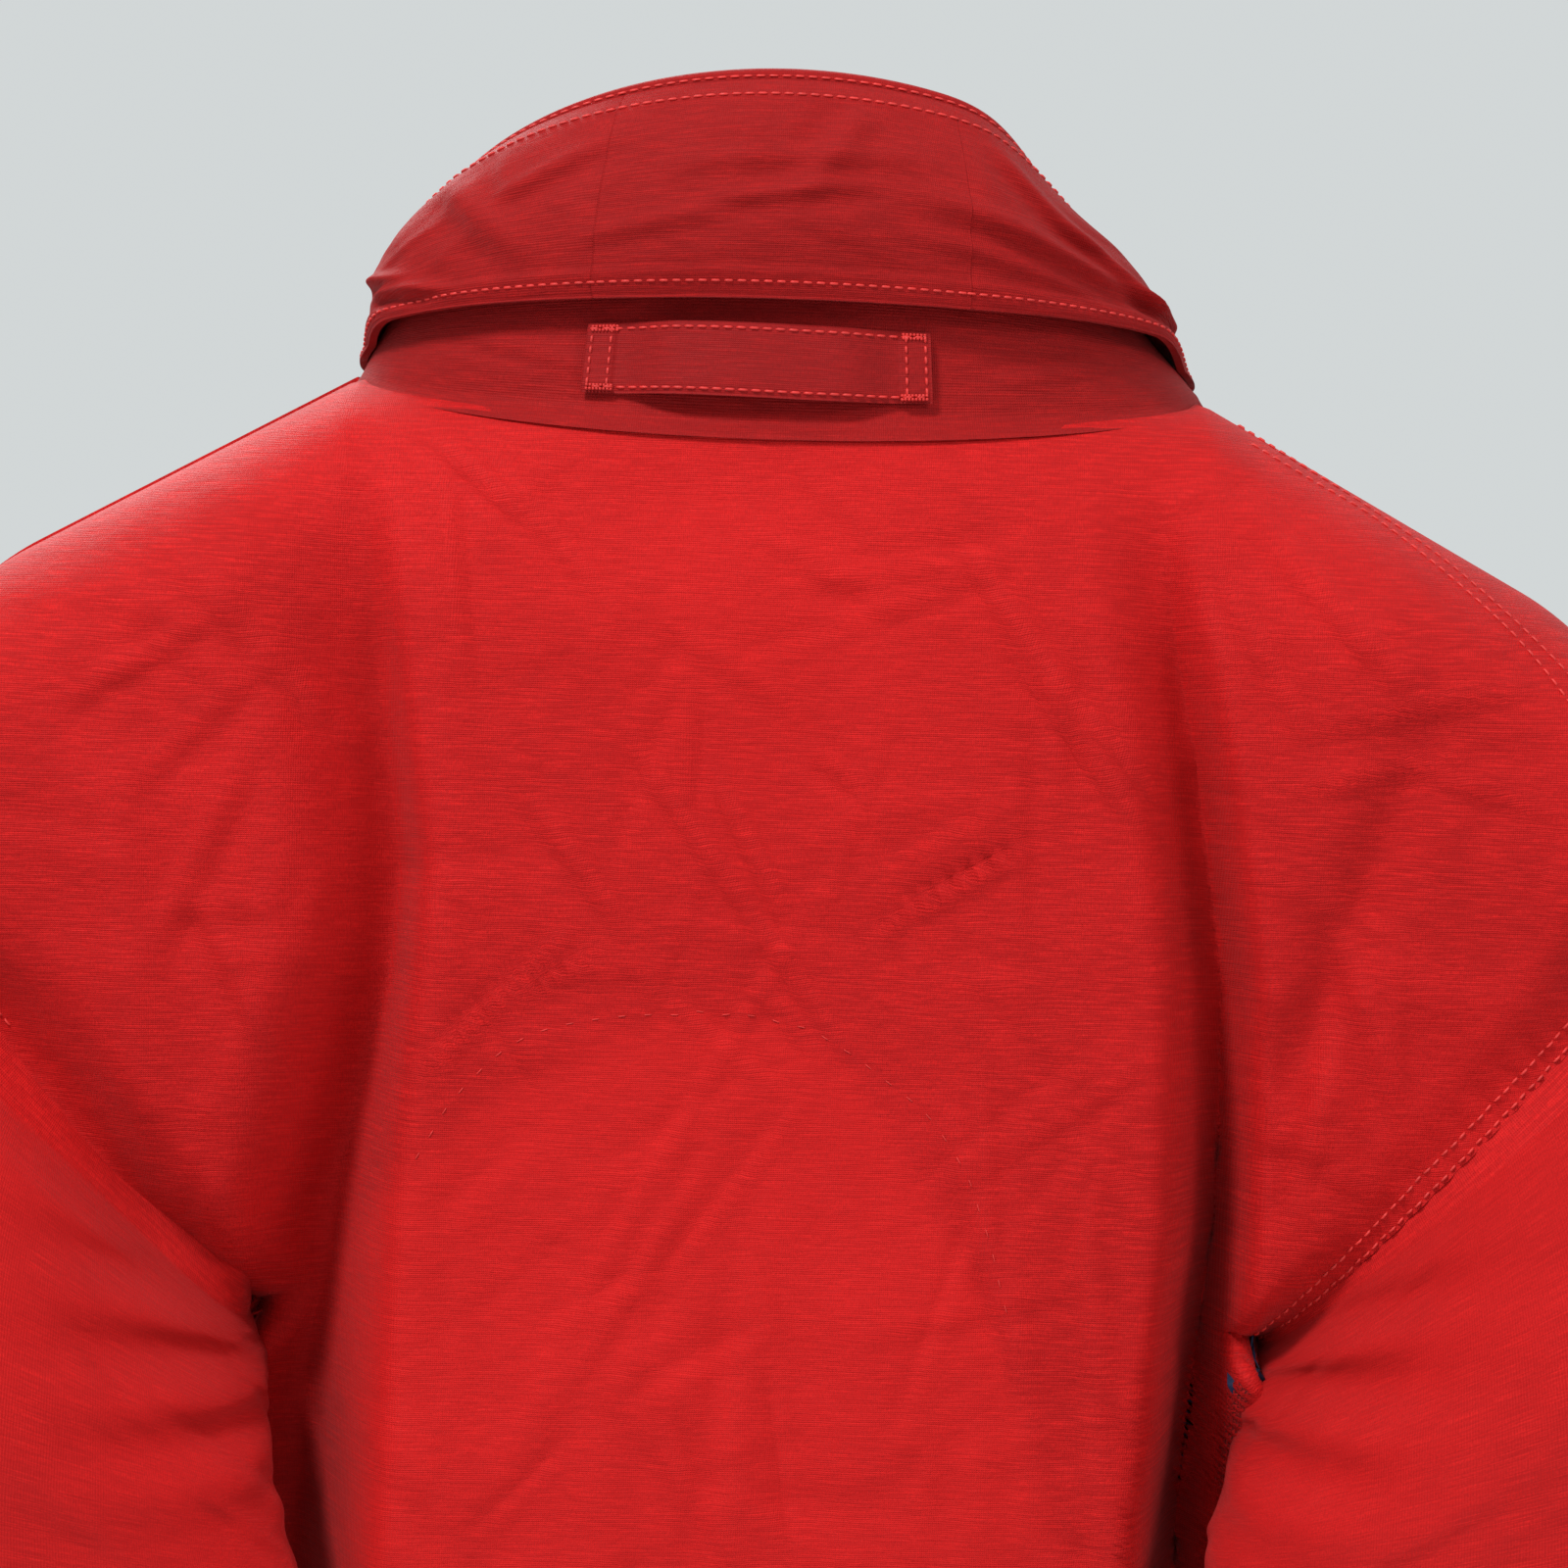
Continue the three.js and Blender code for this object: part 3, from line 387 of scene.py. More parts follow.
def body_point(x, z, outward, front=False):
    """Places on the front or back at x and z, outward millimetres clear of the drafted surface, with their
    normals."""
    step = 0.8
    relief = front_relief if front else back_relief
    toward = -1.0 if front else 1.0

    def depth(a, b):
        return body_surface(a, b, front) + toward * relief(a, b)

    below = np.minimum(z, top_z(x, front) - step)
    slope_x = (depth(x + step, below) - depth(x - step, below)) / (2 * step)
    slope_z = (depth(x, below) - depth(x, below - step)) / step
    normal = np.stack([-slope_x * toward, np.full_like(x, toward), -slope_z * toward], -1)
    normal /= np.linalg.norm(normal, axis=-1, keepdims=True)
    place = np.stack([x, body_surface(x, z, front) + toward * relief(x, z), z], -1)
    return place + normal * np.expand_dims(np.broadcast_to(outward, x.shape), -1), normal


# ---- meshes ----
def new_object(name, points, faces, material, uv=None, facing_and_highlight_tone=None, soft=True):
    """One mesh object at the origin from millimetre points and a list of face arrays, with a metre UV and
    a tone attribute: the facing showing through the back's arch, and a painted highlight on the upper back."""
    mesh = bpy.data.meshes.new(name)
    points = np.asarray(points, float).reshape(-1, 3) * 0.001
    counts = np.concatenate([np.full(len(f), f.shape[1]) for f in faces])
    corners = np.concatenate([f.ravel() for f in faces]).astype(np.int32)
    starts = np.r_[0, np.cumsum(counts)[:-1]]
    mesh.vertices.add(len(points))
    mesh.vertices.foreach_set("co", points.ravel())
    mesh.loops.add(len(corners))
    mesh.loops.foreach_set("vertex_index", corners)
    mesh.polygons.add(len(counts))
    mesh.polygons.foreach_set("loop_start", starts.astype(np.int32))
    mesh.update(calc_edges=True)
    if uv is not None:
        layer = mesh.uv_layers.new(name="cloth")
        layer.data.foreach_set("uv", np.asarray(uv, float).reshape(-1, 2)[corners].ravel())
    if facing_and_highlight_tone is not None:
        attribute = mesh.attributes.new("facing_and_highlight_tone", "FLOAT", "POINT")
        attribute.data.foreach_set("value", np.asarray(facing_and_highlight_tone, np.float32).ravel())
    mesh.polygons.foreach_set("use_smooth", np.broadcast_to(soft, len(counts)).astype(bool))
    mesh.validate()
    item = bpy.data.objects.new(name, mesh)
    bpy.context.scene.collection.objects.link(item)
    item.data.materials.append(material)
    return item


def grid_faces(rows, columns, ring=False):
    """Quads between neighbouring places of a grid of points; as a ring the last row joins the first."""
    index = np.arange(rows * columns).reshape(rows, columns)
    if ring:
        index = np.vstack([index, index[:1]])
    return np.stack([index[:-1, :-1], index[1:, :-1], index[1:, 1:], index[:-1, 1:]], -1).reshape(-1, 4)


def grid_normals(grid, ring=False):
    """Unit cross products of the steps to the neighbours on either side along both ways of a grid."""
    if ring:
        across = np.roll(grid, -1, 0) - np.roll(grid, 1, 0)
    else:
        across = np.gradient(grid, axis=0)
    normal = np.cross(across, np.gradient(grid, axis=1))
    return normal / np.maximum(np.linalg.norm(normal, axis=-1, keepdims=True), 1e-9)


def arc_uv(grid):
    """Metre coordinates from the lengths walked along both ways of a grid."""
    u = np.linalg.norm(np.diff(grid, axis=0), axis=-1).mean(1)
    v = np.linalg.norm(np.diff(grid, axis=1), axis=-1).mean(0)
    u, v = np.r_[0, np.cumsum(u)], np.r_[0, np.cumsum(v)]
    return np.stack(np.meshgrid(u, v, indexing="ij"), -1) * 0.001


def shell(name, outer, thick, material, ring=False, inner=None, uv=None, facing_and_highlight_tone=None):
    """A closed cloth between an outer grid and one thick inside it, its rim closed; faces are turned
    outward by volume."""
    rows, columns = outer.shape[:2]
    if inner is None:
        inner = outer - grid_normals(outer, ring) * thick
    count = rows * columns
    index = np.arange(count).reshape(rows, columns)
    top = grid_faces(rows, columns, ring)
    faces = [top, top[:, ::-1] + count]
    closed = np.vstack([index, index[:1]]) if ring else index
    rims = [closed[:, 0][::-1], closed[:, -1]]
    if not ring:
        rims += [index[0], index[-1][::-1]]
    for rim in rims:
        a, b = rim[:-1], rim[1:]
        faces.append(np.stack([a, b, b + count, a + count], -1)[:, ::-1])
    points = np.concatenate([outer.reshape(-1, 3), inner.reshape(-1, 3)])
    quads = np.concatenate(faces)
    if volume(points, quads) < 0:
        quads = quads[:, ::-1]
    uv = arc_uv(outer) if uv is None else uv
    uv = np.tile(uv.reshape(-1, 2), (2, 1))
    facing_and_highlight_tone = np.zeros(2 * count) if facing_and_highlight_tone is None else np.tile(facing_and_highlight_tone.ravel(), 2)
    return new_object(name, points, [quads], material, uv, facing_and_highlight_tone, np.arange(len(quads)) < 2 * len(top))


def volume(points, quads):
    """Six times the volume of a closed mesh of quads, summed over triangles: above 0 when its faces point
    out."""
    a, b, c, d = (points[quads[:, k]] for k in range(4))
    return np.einsum("ij,ij->", a, np.cross(b, c)) + np.einsum("ij,ij->", a, np.cross(c, d))


def lathe(name, profile, middle, axis, material, count=40):
    """A profile of (radius, height) turned round an axis through middle; its ends close at the axis."""
    profile = np.array(profile, float)
    axis = np.array(axis, float) / np.linalg.norm(axis)
    side = np.cross(axis, [0, 0, 1.0])
    side = side / np.linalg.norm(side)
    other = np.cross(axis, side)
    turn = np.linspace(0, 2 * math.pi, count, endpoint=False)
    ring = np.cos(turn)[:, None] * side + np.sin(turn)[:, None] * other
    grid = ring[:, None] * profile[None, :, :1] + axis * profile[None, :, 1:]
    quads = grid_faces(count, len(profile), True)
    points = (grid + np.array(middle, float)).reshape(-1, 3)
    if volume(points, quads) < 0:
        quads = quads[:, ::-1]
    item = new_object(name, points, [quads], material)
    merge(item)
    return item


def merge(item, distance=1e-6):
    """Joins points that lie together, as at a pole."""

    work = bmesh.new()
    work.from_mesh(item.data)
    bmesh.ops.remove_doubles(work, verts=work.verts, dist=distance)
    bmesh.ops.dissolve_degenerate(work, edges=work.edges, dist=1e-7)
    work.to_mesh(item.data)
    work.free()


# ---- materials ----
def tree(name):
    """A new material with nodes, and its shader."""
    material = bpy.data.materials.new(name)
    material.use_nodes = True
    nodes = material.node_tree.nodes
    shader = nodes["Principled BSDF"]
    return material, nodes, material.node_tree.links, shader


def noise(nodes, links, source, scale, stretch=(1, 1, 1), detail=3.0):
    """Noise on a source, stretched by a Mapping node."""
    mapping = nodes.new("ShaderNodeMapping")
    mapping.inputs["Scale"].default_value = stretch
    links.new(source, mapping.inputs["Vector"])
    texture = nodes.new("ShaderNodeTexNoise")
    texture.inputs["Scale"].default_value = scale
    texture.inputs["Detail"].default_value = detail
    links.new(mapping.outputs[0], texture.inputs["Vector"])
    return texture.outputs["Fac"]


def ramp(nodes, links, source, low, high, first, last):
    """A value eased from first to last as the input goes from low to high."""
    item = nodes.new("ShaderNodeMapRange")
    for key, value in (("From Min", low), ("From Max", high), ("To Min", first), ("To Max", last)):
        item.inputs[key].default_value = value
    links.new(source, item.inputs["Value"])
    return item.outputs[0]


def maths(nodes, links, kind, a, b):
    """One Math node on two inputs, each a socket or a number."""
    item = nodes.new("ShaderNodeMath")
    item.operation = kind
    for socket, value in zip(item.inputs, (a, b)):
        if isinstance(value, (int, float)):
            socket.default_value = value
        else:
            links.new(value, socket)
    return item.outputs[0]


def blend_colour(nodes, links, factor, first, second):
    """Two colours mixed by a factor, each a socket or a plain colour."""
    item = nodes.new("ShaderNodeMix")
    item.data_type = "RGBA"
    links.new(factor, item.inputs["Factor"])
    for key, value in ((6, first), (7, second)):
        if isinstance(value, tuple):
            item.inputs[key].default_value = (*value, 1)
        else:
            links.new(value, item.inputs[key])
    return item.outputs[2]


def woven(name, colour, shade, bright, pitch=0.5, slub=1.0, rough=0.66, sheen=0.03, depth=0.00016):
    """Plain weave on the cloth's own metre UV: crossed thread waves, level slub streaks, slow mottling and
    a tone that mixes in the bright colour: the facing showing through, and a painted highlight."""
    material, nodes, links, shader = tree(name)
    uv = nodes.new("ShaderNodeUVMap")
    uv.uv_map = "cloth"
    uv = uv.outputs["UV"]
    place = nodes.new("ShaderNodeTexCoord").outputs["Object"]
    streak = noise(nodes, links, uv, 1.0, (110, 1700, 1), 2.0)
    fine = noise(nodes, links, uv, 1.0, (2400, 700, 1), 1.0)
    mottle = noise(nodes, links, place, 14.0, detail=4.0)
    waves = []
    for turn in (0, 1):
        wave = nodes.new("ShaderNodeTexWave")
        wave.bands_direction = "XY"[turn]
        wave.inputs["Scale"].default_value = 1000 * 0.314 / pitch
        wave.inputs["Distortion"].default_value = 1.2
        wave.inputs["Detail"].default_value = 1.0
        links.new(uv, wave.inputs["Vector"])
        waves.append(wave.outputs["Fac"])
    weave = maths(nodes, links, "MULTIPLY", waves[0], waves[1])
    first = blend_colour(nodes, links, ramp(nodes, links, mottle, 0.3, 0.7, 0, 0.7), colour, shade)
    light = ramp(nodes, links, streak, 0.42, 0.72, 0, 0.8 * slub)
    second = blend_colour(nodes, links, light, first, bright)
    dark = ramp(nodes, links, fine, 0.4, 0.68, 0.0, 0.5)
    third = blend_colour(nodes, links, dark, second, shade)
    # The tone attribute lifts the colour towards bright: real where the facing shows through the back's arch, a
    # painted highlight on the upper back.
    facing_and_highlight_tone = nodes.new("ShaderNodeAttribute")
    facing_and_highlight_tone.attribute_name = "facing_and_highlight_tone"
    links.new(blend_colour(nodes, links, facing_and_highlight_tone.outputs["Fac"], third, bright), shader.inputs["Base Color"])
    links.new(ramp(nodes, links, mottle, 0.2, 0.8, rough - 0.07, rough + 0.08), shader.inputs["Roughness"])
    shader.inputs["Sheen Weight"].default_value = sheen
    shader.inputs["Sheen Roughness"].default_value = 0.45
    shader.inputs["Specular IOR Level"].default_value = 0.16
    high = maths(nodes, links, "ADD", maths(nodes, links, "MULTIPLY", streak, 1.6 * slub), weave)
    high = maths(
        nodes, links, "ADD", high,
        maths(nodes, links, "MULTIPLY", noise(nodes, links, uv, 1.0, (260, 260, 1), 3.0), 3.2)
    )
    bump = nodes.new("ShaderNodeBump")
    bump.inputs["Strength"].default_value = 0.55
    bump.inputs["Distance"].default_value = depth
    links.new(high, bump.inputs["Height"])
    links.new(bump.outputs[0], shader.inputs["Normal"])
    return material


def moulded(name, colour, rough, metal=0.0, grain=0.00003, scale=900.0):
    """Plastic or metal with a fine grain in its roughness, colour and bump, on Object coordinates."""
    material, nodes, links, shader = tree(name)
    place = nodes.new("ShaderNodeTexCoord").outputs["Object"]
    speck = noise(nodes, links, place, scale, detail=3.0)
    slow = noise(nodes, links, place, scale / 18, detail=3.0)
    darker = tuple(c * 0.72 for c in colour)
    links.new(
        blend_colour(nodes, links, ramp(nodes, links, slow, 0.35, 0.7, 0, 0.8), colour, darker),
        shader.inputs["Base Color"]
    )
    links.new(ramp(nodes, links, speck, 0.3, 0.7, rough - 0.08, rough + 0.12), shader.inputs["Roughness"])
    shader.inputs["Metallic"].default_value = metal
    bump = nodes.new("ShaderNodeBump")
    bump.inputs["Distance"].default_value = grain
    bump.inputs["Strength"].default_value = 0.5
    links.new(speck, bump.inputs["Height"])
    links.new(bump.outputs[0], shader.inputs["Normal"])
    return material


red_cloth = woven(
    "coated red cloth", (0.47, 0.0035, 0.004), (0.31, 0.002, 0.0024), (0.62, 0.0085, 0.0075), depth=0.0003
)
# The same red cloth painted darker for the collar, hood cover and rolled hood: a painted shade for the dimmer
# light there.
red_cloth_painted_shade = woven(
    "red cloth with painted shade", (0.29, 0.002, 0.0022), (0.21, 0.0014, 0.0016), (0.38, 0.0045, 0.004), depth=0.0003
)
red_loop = woven(
    "red loop cloth", (0.25, 0.0016, 0.002), (0.18, 0.0012, 0.0014), (0.33, 0.004, 0.004), rough=0.6
)
red_facing = woven("red facing", (0.63, 0.020, 0.016), (0.52, 0.014, 0.013), (0.74, 0.03, 0.022))
navy_lining = woven(
    "navy lining", (0.017, 0.026, 0.07), (0.011, 0.017, 0.05), (0.03, 0.045, 0.1), pitch=0.35, slub=0.4,
    rough=0.5
)
black_tape = woven(
    "black loop tape", (0.013, 0.013, 0.015), (0.008, 0.008, 0.009), (0.035, 0.035, 0.038), pitch=1.1,
    slub=0.3, rough=0.9
)
red_tape = woven(
    "red zip tape", (0.42, 0.014, 0.013), (0.32, 0.010, 0.010), (0.52, 0.02, 0.018), pitch=1.3, slub=0.2,
    rough=0.75
)
red_thread = moulded("red thread", (0.60, 0.017, 0.013), 0.55, grain=0.00005, scale=1600)
tooth_plastic = moulded("zip tooth plastic", (0.5, 0.018, 0.016), 0.33)
cast_metal = moulded("cast zip metal", (0.62, 0.63, 0.64), 0.3, 1.0, scale=500)
plate_metal = moulded("snap plate metal", (0.5, 0.51, 0.52), 0.33, 1.0, scale=700)


def place(item, body, slot, nodes=(), blend=None):
    """Puts a piece on its body, or bakes its place when a blend is given, and hides the CAD nodes it stands for;
    the record slot is not used.
    """
    if nodes:
        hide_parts(*nodes)
    if blend:
        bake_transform(item)
    else:
        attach(item, body)
    return item


# ---- thread ----
def stitch_shape():
    """One stitch along X: five-sided rings of a spindle that dives at both ends, and two end points."""
    t = np.array([-0.5, -0.28, 0.28, 0.5])
    wide = np.array([0.45, 1.0, 1.0, 0.45])
    dive = np.array([-0.9, 0.15, 0.15, -0.9])
    turn = np.linspace(0, 2 * math.pi, 5, endpoint=False)
    ring = np.stack(
        [
            np.repeat(t, 5) * STITCH_LONG,
            np.outer(wide, np.cos(turn)).ravel() * THREAD,
            (np.outer(wide, np.sin(turn)) + dive[:, None]).ravel() * THREAD,
        ],
        -1,
    )
    index = np.arange(20).reshape(4, 5)
    nxt = np.roll(index, -1, 1)
    quads = np.stack([index[:-1], index[1:], nxt[1:], nxt[:-1]], -1).reshape(-1, 4)
    caps = np.array([index[0], index[-1][::-1]])
    return ring, quads, caps


STITCH, STITCH_QUADS, STITCH_CAPS = stitch_shape()
seams = {}


def sew(body, points, normals, pitch=STITCH_PITCH, scale=1.0):
    """Lays stitches end to end along a path, each turned to the path and the cloth's normal."""
    points, normals = np.asarray(points, float), np.asarray(normals, float)
    walked = np.r_[0, np.cumsum(np.linalg.norm(np.diff(points, axis=0), axis=1))]
    spots = np.arange(pitch / 2, walked[-1], pitch)
    if len(spots) == 0:
        return

    def at(rows, where):
        return np.stack([np.interp(where, walked, rows[:, k]) for k in range(3)], -1)

    middle, up = at(points, spots), at(normals, spots)
    along = at(points, spots + pitch / 3) - at(points, spots - pitch / 3)
    along /= np.maximum(np.linalg.norm(along, axis=1, keepdims=True), 1e-9)
    up -= along * (along * up).sum(1, keepdims=True)
    up /= np.maximum(np.linalg.norm(up, axis=1, keepdims=True), 1e-9)
    side = np.cross(up, along)
    turn = np.stack([along, side, up], 1)
    shape = STITCH * [scale * pitch / STITCH_PITCH, scale, scale]
    seams.setdefault(body, []).append(middle[:, None] + np.einsum("pk,nkj->npj", shape, turn))


def thread_pieces():
    """Each body's stitches as one piece."""
    for body, runs in seams.items():
        points = np.concatenate(runs)
        shift = (np.arange(len(points)) * len(STITCH))[:, None, None]
        quads = (STITCH_QUADS[None] + shift).reshape(-1, 4)
        caps = (STITCH_CAPS[None] + shift).reshape(-1, 5)
        item = new_object(f"stitching_{body}", points, [quads, caps], red_thread)
        if volume(points.reshape(-1, 3), quads) < 0:
            item.data.flip_normals()
        place(item, body, "red_tape")


def sew_body(points, front=False, body="torso", **words):
    """A stitched row through drafted places (x, z) on the front or the back."""
    path = spline(points, 60 * len(points)) if len(points) > 2 else np.linspace(points[0], points[1], 200)
    spots, normals = body_point(path[:, 0], path[:, 1], CLOTH + 0.12, front)
    sew(body, spots, normals, **words)


# ---- the body ----
def body_grid(columns, rows, front, share_low=-1.0, share_high=1.0):
    """Places across (share of the half width) and down (share of the height), closest together in the
    upper back."""
    down = np.linspace(0, 1, rows)
    down = np.interp(down, [0, 0.72, 1], [0, 0.44, 1])
    across = np.linspace(share_low, share_high, columns)[:, None]
    half = np.interp(down, EDGE_SHARE, EDGE_HALF)[None] - GAP
    x = across * half
    top = top_z(x, front)
    return x, mix(top, HEM_Z, down[None])


def arch_tone(x, z):
    """1 inside the tall arch where the cloth lies on the facing, 0 above it."""
    high = -157 - np.where(x > 8, 0.0068, 0.0172) * (x - 8) ** 2
    return smooth(6, -8, z - high) * smooth(98, 78, np.abs(x - 14)) * 0.3


def make_back():
    """The back and its lining follow the body's surface, outside and inside; the facing lies between, in
    the arch."""
    x, z = body_grid(236, 196, False)
    outer, _ = body_point(x, z, CLOTH)
    uv = np.stack([x, z], -1) * 0.001
    # Tone: the facing showing through inside the arch, plus a painted highlight, a soft bright patch on the upper
    # back's middle.
    facing_and_highlight_tone = arch_tone(x, z) + 0.3 * np.exp(-(((x - 4) / 62) ** 2 + ((z + 62) / 50) ** 2))
    item = shell("back_cloth", outer, CLOTH, red_cloth, uv=uv, facing_and_highlight_tone=facing_and_highlight_tone)
    place(item, "torso", "red_cloth", ["back_panel"])

    x, z = body_grid(220, 150, False, -0.93, 0.93)
    keep = slice(9, None)
    beside = 3.0 * smooth(96, 104, np.abs(x[:, keep]))
    outer, _ = body_point(x[:, keep], z[:, keep], -GAP - 2.6 - beside)
    lining = shell("back_lining_cloth", outer, 0.8, navy_lining)
    place(lining, "torso", "navy_lining", ["back_lining"])

    x = np.linspace(-92, 92, 60)[:, None] + np.zeros((1, 60))
    z = np.linspace(-132, -326, 60)[None] + np.zeros((60, 1))
    outer, _ = body_point(x, z, -GAP * 2 - 4.6)
    facing_piece = shell("back_facing_cloth", outer, 0.8, red_facing)
    place(facing_piece, "torso", "red_facing", ["back_facing"])


def make_fronts():
    """Each front runs from beside the zip to the side seam, its columns closest together at the side."""
    for name, side in SIDES:
        down = np.interp(np.linspace(0, 1, 150), [0, 0.3, 1], [0, 0.16, 1])[None]
        half = np.interp(down, EDGE_SHARE, EDGE_HALF) - GAP
        across = np.linspace(0, 1, 120)[:, None]
        x = mix(FRONT_EDGE, half, across**0.95)
        z = mix(top_z(x, True), HEM_Z, down)
        outer, _ = body_point(side * x, z, CLOTH, True)
        uv = np.stack([side * x, z], -1) * 0.001
        item = shell(f"{name}_front_cloth", outer, CLOTH, red_cloth, uv=uv)
        place(item, "torso", "red_cloth", [f"{name}_front_panel"])
        x = mix(FRONT_FLAT + 1, half - 12, np.linspace(0, 1, 60)[:, None])[:, 8:]
        z = mix(top_z(x, True), HEM_Z, down[:, 8:])
        outer, _ = body_point(side * x, z, -GAP - 1.2, True)
        lining = shell(f"{name}_lining_cloth", outer, 0.8, navy_lining)
        place(lining, "torso", "navy_lining", [f"{name}_front_lining"])


def make_side_seams():
    """A binding inside each side: it follows the insides of the front's edge and the back's, and closes
    their join."""
    reach = np.linspace(7, 0, 10)[:, None]
    down = np.linspace(ARM_SHARE + 0.005, 1, 170)[None]
    half = np.interp(down, EDGE_SHARE, EDGE_HALF) - GAP
    for name, side in SIDES:
        layers = []
        for inset, depth in ((0.9, -0.25), (1.8, -0.8)):
            x = side * (half - inset - reach)
            front, _ = body_point(x, mix(top_z(x, True), HEM_Z, down), depth, True)
            back, _ = body_point(x, mix(top_z(x, False), HEM_Z, down), depth)
            layers.append(np.concatenate([front, back[::-1]]))
        item = shell(f"{name}_side_seam_cloth", layers[0], 0.5, red_facing, inner=layers[1])
        place(item, "torso", "red_facing")


def make_hem():
    """The turned-up hem: a second layer over the foot of the body, following it, with two stitched rows."""
    for front, name, low, high in (
        (False, "back", -1, 1), (True, "left_front", 0.04, 1), (True, "right_front", -1, -0.04)
    ):
        share = np.linspace(low, high, 200)[:, None]
        x = share * (SIDE_HALF - GAP) + np.zeros((1, 12))
        z = np.linspace(HEM_Z + HEM_HIGH, HEM_Z, 12)[None] + np.zeros((200, 1))
        proud = 1.3 * np.sin(np.linspace(0, math.pi, 12)) ** 0.3 + 0.1
        outer, _ = body_point(x, z, CLOTH + GAP + proud[None], front)
        item = shell(f"{name}_hem", outer, 0.9, red_cloth, uv=np.stack([x, z], -1) * 0.001)
        place(item, "torso", "red_cloth", [f"{name}_hem_band"])
        for height in (HEM_Z + HEM_HIGH - 3, HEM_Z + 4):
            row = x[:, 0]
            spots, normals = body_point(row, np.full_like(row, height), CLOTH + GAP + 1.4, front)
            sew("torso", spots, normals)


# ---- sleeves ----
OUTER_LINE = [(245, -112.2), (280, -165), (300, -235), (306, -310), (318, -430), (335, -560), (350, -690)]
INNER_LINE = [(141, -230), (128, -257), (117, -290), (116, -330), (142, -430), (185, -560), (232, -690)]
SLEEVE_DEPTHS = [(0, 50), (20, 50), (42, 49), (46, 47), (42, 44), (40, 41), (38, 37)]


def sleeve_grid(side, along, turn, outward):
    """An ellipse round the middle of the two sleeve lines: width across them by cos, depth by sin; outward
    is clear of it."""
    route = spline([(*o, *i, *d) for o, i, d in zip(OUTER_LINE, INNER_LINE, SLEEVE_DEPTHS)], 400)
    at = [np.interp(along, np.linspace(0, 1, 400), route[:, k]) for k in range(6)]
    across = np.stack([at[0] - at[2], np.zeros_like(at[0]), at[1] - at[3]], -1)
    wide = np.linalg.norm(across, axis=-1) / 2
    across = across / (2 * wide[..., None])
    deep = at[5]
    middle = np.stack([(at[0] + at[2]) / 2, at[4], (at[1] + at[3]) / 2], -1)
    cos, sin = np.cos(turn), np.sin(turn)
    nx, ny = cos * deep, sin * wide
    size = np.hypot(nx, ny)
    nx, ny = nx / size, ny / size
    place_at = middle + across * (wide * cos + outward * nx)[..., None]
    place_at[..., 1] += deep * sin + outward * ny
    place_at[..., 0] *= side
    return place_at


def sleeve_relief(side, along, turn):
    """Drag folds from the underarm, soft cross folds at the elbow, and small creases, calm at the armhole
    and cuff."""
    around, down = turn * 62, along * SLEEVE_LONG
    total = swell(around, down, 31 if side > 0 else 32, 120, 1.5)
    total += scattered(
        around, down, (0, 390, 10, 560), 110, 41 if side > 0 else 42, high=(0.3, 1.3), wide=(3, 8),
        long=(30, 110), lean=1.2
    )
    elbow = np.exp(-(((down - 300) / 75) ** 2))
    total += 2.2 * elbow * np.cos(
        down / 9.5 + 1.4 * np.sin(turn * 2 + side)
    ) * (0.4 + 0.6 * np.cos(turn / 2 + 1.2) ** 2)
    low = np.exp(-(((down - 520) / 34) ** 2))
    total += 1.6 * low * np.cos(down / 6.5 + np.sin(turn * 3))
    under = np.exp(-(((turn - 2.5) / 0.5) ** 2)) * smooth(10, 60, down) * (1 - smooth(130, 230, down))
    total += 3.0 * under * np.cos((around + 0.9 * down) / 8.5)
    calm = smooth(0, 40, down) * (1 - smooth(CUFF_START * SLEEVE_LONG - 30, CUFF_START * SLEEVE_LONG, down))
    behind = np.exp(-(((turn - 1.9) / 0.75) ** 4)) * (1 - smooth(4, 46, down))
    inner = 9 * np.exp(-(((turn - 3.1) / 0.6) ** 2)) * (1 - smooth(30, 130, down))
    return total * calm + inner - (20 * behind if side > 0 else 0)


def sleeve_blend(name, side):
    """The torso and the sleeve's body, with a line from the armhole point down the upper arm, for a blend
    between them."""
    start = np.array([side * 0.19, 0, -0.17])
    end = start + np.array([side * 0.749, 0, -0.662]) * 0.15
    return "torso", f"{name}_sleeve", tuple(start), tuple(end)


def make_sleeves():
    """Each sleeve is a closed ring of ellipses down its length, tucked under the armhole's edge at the
    top."""
    for name, side in SIDES:
        turn = np.linspace(0, 2 * math.pi, 200, endpoint=False)[:, None]
        along = np.interp(np.linspace(0, 1, 190), [0, 0.5, 1], [0.004, 0.42, 1])[None]
        turn, along = np.broadcast_arrays(turn, along)
        relief = sleeve_relief(side, along, turn)
        tuck = np.maximum(0, 1 - np.arange(along.shape[1]) / 7.0)[None]
        deep = 14 + 8 * smooth(0.05, 0.6, -np.sin(turn)) * smooth(0.2, -0.5, np.cos(turn))
        shift = np.array([side * -0.749, 0, 0.662]) * (deep * tuck)[..., None]
        outer = sleeve_grid(side, along, turn, CLOTH + relief - 3.2 * smooth(0, 0.4, tuck)) + shift
        inner = sleeve_grid(side, along, turn, relief - 3.2 * smooth(0, 0.4, tuck)) + shift
        uv = np.stack([turn * 0.062, along * SLEEVE_LONG * 0.001], -1)
        item = shell(f"{name}_sleeve_cloth", outer, CLOTH, red_cloth, ring=True, inner=inner, uv=uv)
        place(item, None, "red_cloth", [f"{name}_sleeve"], blend=sleeve_blend(name, side))
        make_cuff(name, side)


